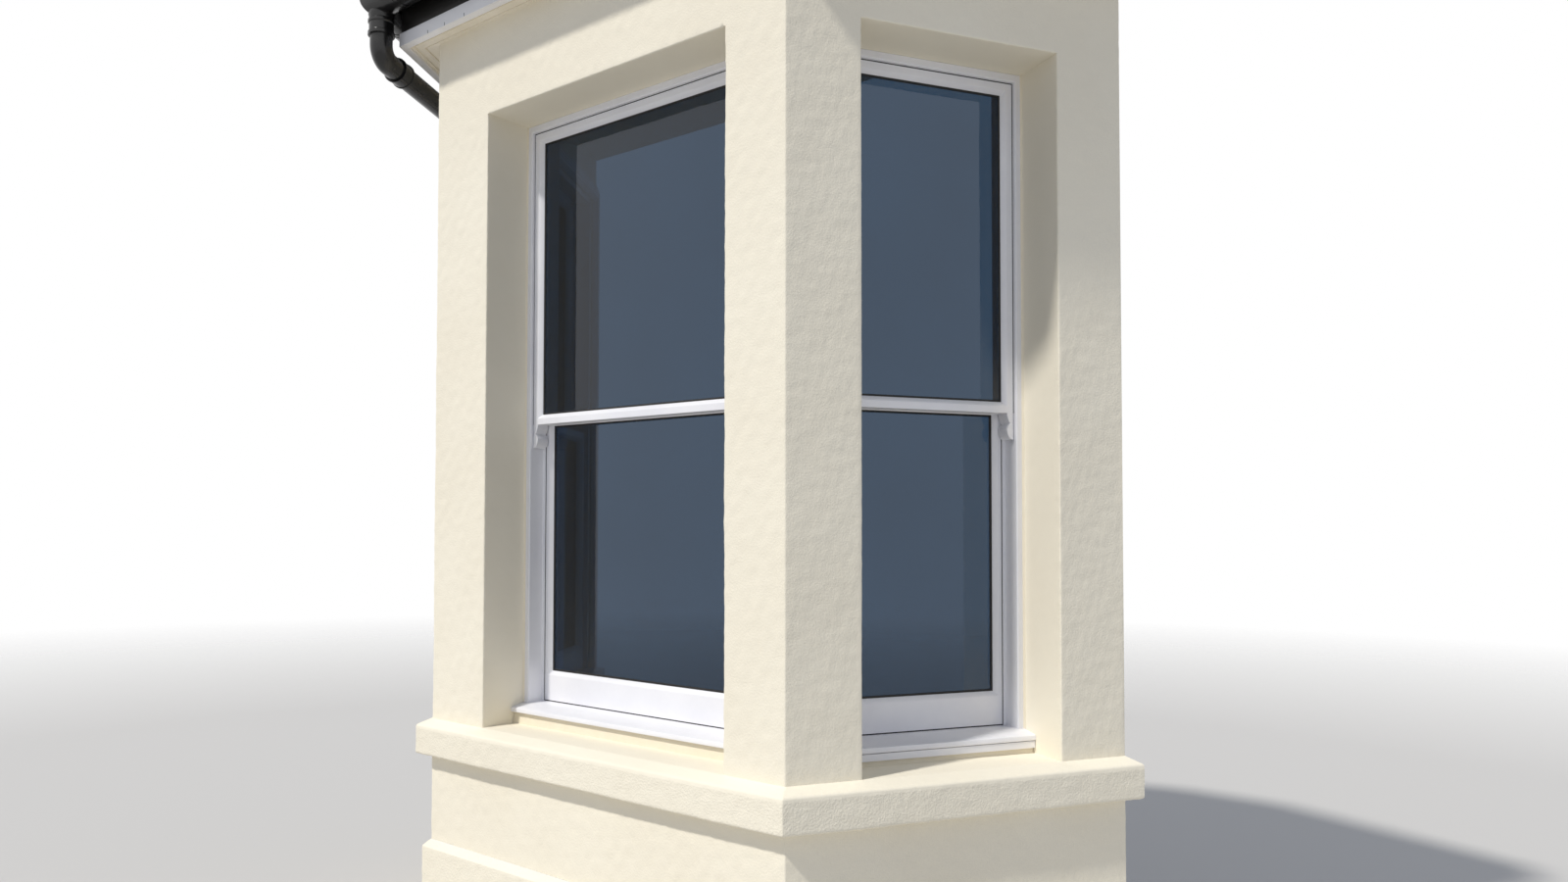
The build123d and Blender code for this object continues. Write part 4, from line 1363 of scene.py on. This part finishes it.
def make_hips():
    """Lead rolls down the two hips, with wings dressed over the slates.

    A section square to the hip, a horseshoe with a flat wing on each side, is carried up it. Each
    of its points starts over the eaves and ends at the cut, and rises with the slates. The lower
    sheet ends 0.62 m up the hip, and the upper one laps it from 0.54 m on.
    """
    foot = np.array([EAVES_HALF + ROOF_EDGE * MITRE, FRONT_Y - ROOF_EDGE])
    start = np.array([*foot, roof_height(ROOF_EDGE)])
    along = np.array([-MITRE, 1.0, PITCH])
    along /= np.linalg.norm(along)
    front_up = np.array([0, -PITCH, 1.0]) / SLOPE
    cant_up = np.array([SIN * PITCH, -COS * PITCH, 1.0]) / SLOPE
    to_front = np.cross(along, front_up)
    to_front *= np.sign(-to_front[0])
    to_cant = np.cross(along, cant_up)
    to_cant *= np.sign(to_cant[0])
    up = front_up + cant_up
    up /= np.linalg.norm(up)
    side = np.cross(up, along)
    side *= np.sign(side @ to_cant)
    radius, centre, sheet, wing, neck = 0.021, 0.0205, 0.0024, 0.105, 0.027
    roll = [
        up * (centre + radius * math.sin(a)) + side * radius * math.cos(a)
        for a in np.linspace(math.pi, 0.0, 15)
    ]
    spread = np.linspace(wing, neck, 14)
    section = np.array(
        [
            to_front * wing + front_up * (LEAD_CLEAR - sheet),
            *[to_front * w + front_up * LEAD_CLEAR for w in spread],
            *roll,
            *[to_cant * w + cant_up * LEAD_CLEAR for w in spread[::-1]],
            to_cant * wing + cant_up * (LEAD_CLEAR - sheet),
            up * 0.004,
        ]
    )
    roll_first = 1 + len(spread)
    lower, upper = (0.0, 0.62, 0.0), (0.54, None, 0.0028)
    shapes = []
    for first, last, lap in (lower, upper):
        points = start + section + up * lap
        over_front = (FRONT_Y - ROOF_EDGE - points[:, 1]) / along[1]
        across = (points[:, 0] - EAVES_HALF) * SIN - (points[:, 1] - FRONT_Y) * COS - ROOF_EDGE
        over_cant = across / (along[1] * COS - along[0] * SIN)
        low = np.maximum(np.maximum(over_front, over_cant), first)
        high = (BACK_Y - 0.001 - points[:, 1]) / along[1] if last is None else np.full_like(low, last)
        share = np.linspace(0, 1, divided((high - low).max()) + 1)[:, None]
        rings = points + along * (low + (high - low) * share)[..., None]
        rise = slate_rise(rings[..., 0], rings[..., 1]) * SLOPE
        rise[:, roll_first : roll_first + len(roll)] = 0.0
        rings[..., 2] += rise
        shapes += [loft(rings), loft(rings * [-1, 1, 1])]
    piece("hip_lead", together(shapes), LEAD, ["hip_rolls"], smooth=50)


def make_flashing():
    """Lead flashing: an upstand at the back and an apron over the slates, in three lapped sheets.

    Each sheet is a section carried across the bay. Its apron follows the slates, and two sine waves
    make it ripple, more towards its lower edge.
    """
    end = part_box("wall_flashing")[1].x - 0.001
    apron, upstand, sheet, fold_back = 0.128, 0.108, 0.0026, 0.020
    under, over, above = 0.32, 0.42, 0.0032
    shapes = []
    for first, last, lift in ((-end, -under, 0.0), (-over, over, above), (under, end, 0.0)):
        x = np.linspace(first, last, divided(last - first) + 1)
        wave = 0.0008 * np.sin(x * 23.0) + 0.0004 * np.sin(x * 61.0 + 1.0) + 0.0012
        top = roof_height(roof_off(x, BACK_Y - 0.001)) + upstand
        apron_tops = []
        for back in np.linspace(fold_back, apron, 19):
            clear = LEAD_CLEAR + lift + slate_rise(x, BACK_Y - back)
            surface = roof_height(roof_off(x, BACK_Y - back)) + clear * SLOPE
            apron_tops.append((back, surface + wave * back / apron))
        fold = apron_tops[0][1]
        section = [
            (0.0005 + lift, top),
            (0.0005 + sheet + lift, top - 0.001),
            (0.0040 + sheet + lift, fold + 0.014),
            *apron_tops,
            *[(back, height - sheet) for back, height in apron_tops[::-1]],
            (0.0005 + lift, fold - sheet),
        ]
        rings = np.stack(
            [np.stack([x, np.full_like(x, BACK_Y - back), height], -1) for back, height in section], 1
        )
        shapes.append(loft(rings))
    piece("wall_flashing_lead", together(shapes), LEAD, ["wall_flashing"], smooth=50)


# Inside.
def make_floor():
    """Pine boards cut to the room's plan, each a strip between two lines across the bay."""
    low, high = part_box("floor_deck")
    boards, joint, clear = 6, 0.0008, 0.0005
    chance = np.random.default_rng(3)
    inner = HALF_FRONT - WALL * MITRE
    end = HALF_FRONT + CANT_LENGTH * COS - WALL / SIN
    edges = np.linspace(low.y, high.y, boards + 1)
    shapes, tones = [], []
    for near, far in zip(edges[:-1] + joint, edges[1:] - joint):
        half = [inner + (end - inner) * (y - low.y) / (high.y - low.y) - clear for y in (near, far)]
        plan = np.array([(-half[0], near), (half[0], near), (half[1], far), (-half[1], far)])
        shapes.append(loft(np.stack([raised(plan, z) for z in (low.z, high.z)])))
        tones.append(np.full(8, chance.random()))
    piece(
        "floor_boards", together(shapes), PINE, ["floor_deck"], bevel=0.0008,
        values={"tone": np.concatenate(tones)},
    )


def dress_plain_nodes():
    """Construction pieces whose shape is already right take their finishes."""
    finishes = {
        "ceiling": PLASTER,
        "cill_beds": RENDER,
        "window_board_front": WHITE,
        "window_board_left": WHITE,
        "window_board_right": WHITE,
        "gutter_brackets": BLACK,
        "pipe_clips": BLACK,
        "pipe_shoe": BLACK,
    }
    for node, made in finishes.items():
        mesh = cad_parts[node].data
        mesh.materials.clear()
        mesh.materials.append(made)


make_courses()
make_piers()
for window_label, window_face in WINDOWS.items():
    make_window(window_label, window_face)
make_architraves()
make_eaves()
make_gutter()
make_pipe()
make_slates()
make_hips()
make_flashing()
make_floor()
dress_plain_nodes()


# Camera at the photograph's viewpoint.
def make_camera():
    """The camera's place, heading and focal length were solved from the picture's straight edges."""
    yaw, pitch, roll = (math.radians(a) for a in (39.37, 1.72, 0.13))
    focal, centre_x, centre_y = 1110.97, 746.59, 497.40
    wide, tall = 1600, 900
    data = bpy.data.cameras.new("camera")
    data.sensor_width = 36.0
    data.lens = focal / wide * data.sensor_width
    data.shift_x = (wide / 2 - centre_x) / wide
    data.shift_y = (centre_y - tall / 2) / wide
    data.clip_start = 0.05
    data.clip_end = 100.0
    camera = bpy.data.objects.new("camera", data)
    camera.location = (2.0634, -2.0498, 1.2600)
    heading = Vector((-math.sin(yaw) * math.cos(pitch), math.cos(yaw) * math.cos(pitch), math.sin(pitch)))
    turn = heading.to_track_quat("-Z", "Y").to_matrix().to_4x4()
    camera.matrix_world = Matrix.Translation(camera.location) @ turn @ Matrix.Rotation(roll, 4, "Z")
    bpy.context.scene.collection.objects.link(camera)
    bpy.context.scene.camera = camera


# Stage and light.
def make_stage():
    """A pale floor disc that fades into the background."""
    sides, radius = 96, 14.0
    angle = np.linspace(0, 2 * math.pi, sides, endpoint=False)
    rim = raised(radius * np.stack([np.cos(angle), np.sin(angle)], -1), -0.0005)
    mesh = bpy.data.meshes.new("stage_floor")
    mesh.from_pydata(rim.tolist(), [], [list(range(sides))])
    floor = bpy.data.objects.new("stage_floor", mesh)
    bpy.context.scene.collection.objects.link(floor)
    made, shader, node, where = finish("pale_floor", Base_Color=colour("#CBC9C5"), Roughness=0.9)
    distance = node("VectorMath", {0: where}, operation="LENGTH").outputs["Value"]
    fade = node("MapRange", {"Value": distance, "From Min": 5.0, "From Max": 12.0})
    mixed = node("MixShader", {0: fade, 1: shader, 2: node("BsdfTransparent")})
    wire(made.node_tree.nodes["Material Output"], {"Surface": mixed})
    mesh.materials.append(made)


def make_light():
    """Soft dome of faintly cool light, and a warm key light from the front left, high up.

    Seen directly, in a mirror or through glass, the dome is plain white.
    """
    world = bpy.data.worlds.new("studio")
    bpy.context.scene.world = world
    world.use_nodes = True
    tree = world.node_tree
    dome = wire(tree.nodes["Background"], {"Color": colour("#E6EEFF"), "Strength": 0.49})
    white = add(tree, "Background", {"Color": (1, 1, 1, 1), "Strength": 1.0})
    rays = add(tree, "LightPath").outputs
    seen = add(tree, "Math", {0: rays["Is Camera Ray"], 1: rays["Is Transmission Ray"]}, operation="ADD")
    seen = add(tree, "Math", {0: seen, 1: rays["Is Glossy Ray"]}, operation="ADD", use_clamp=True)
    mixed = add(tree, "MixShader", {0: seen, 1: dome, 2: white})
    wire(tree.nodes["World Output"], {"Surface": mixed})
    azimuth, height = math.radians(13.5), math.radians(52.0)
    data = bpy.data.lights.new("key", "SUN")
    data.energy = 2.55
    data.angle = math.radians(3.0)
    data.color = (1.0, 0.972, 0.93)
    key = bpy.data.objects.new("key", data)
    level = math.cos(height)
    toward = Vector((math.sin(azimuth) * level, math.cos(azimuth) * level, -math.sin(height)))
    key.rotation_mode = "QUATERNION"
    key.rotation_quaternion = toward.to_track_quat("-Z", "Y")
    bpy.context.scene.collection.objects.link(key)


make_camera()
make_stage()
make_light()
bpy.context.scene.view_settings.view_transform = "Standard"
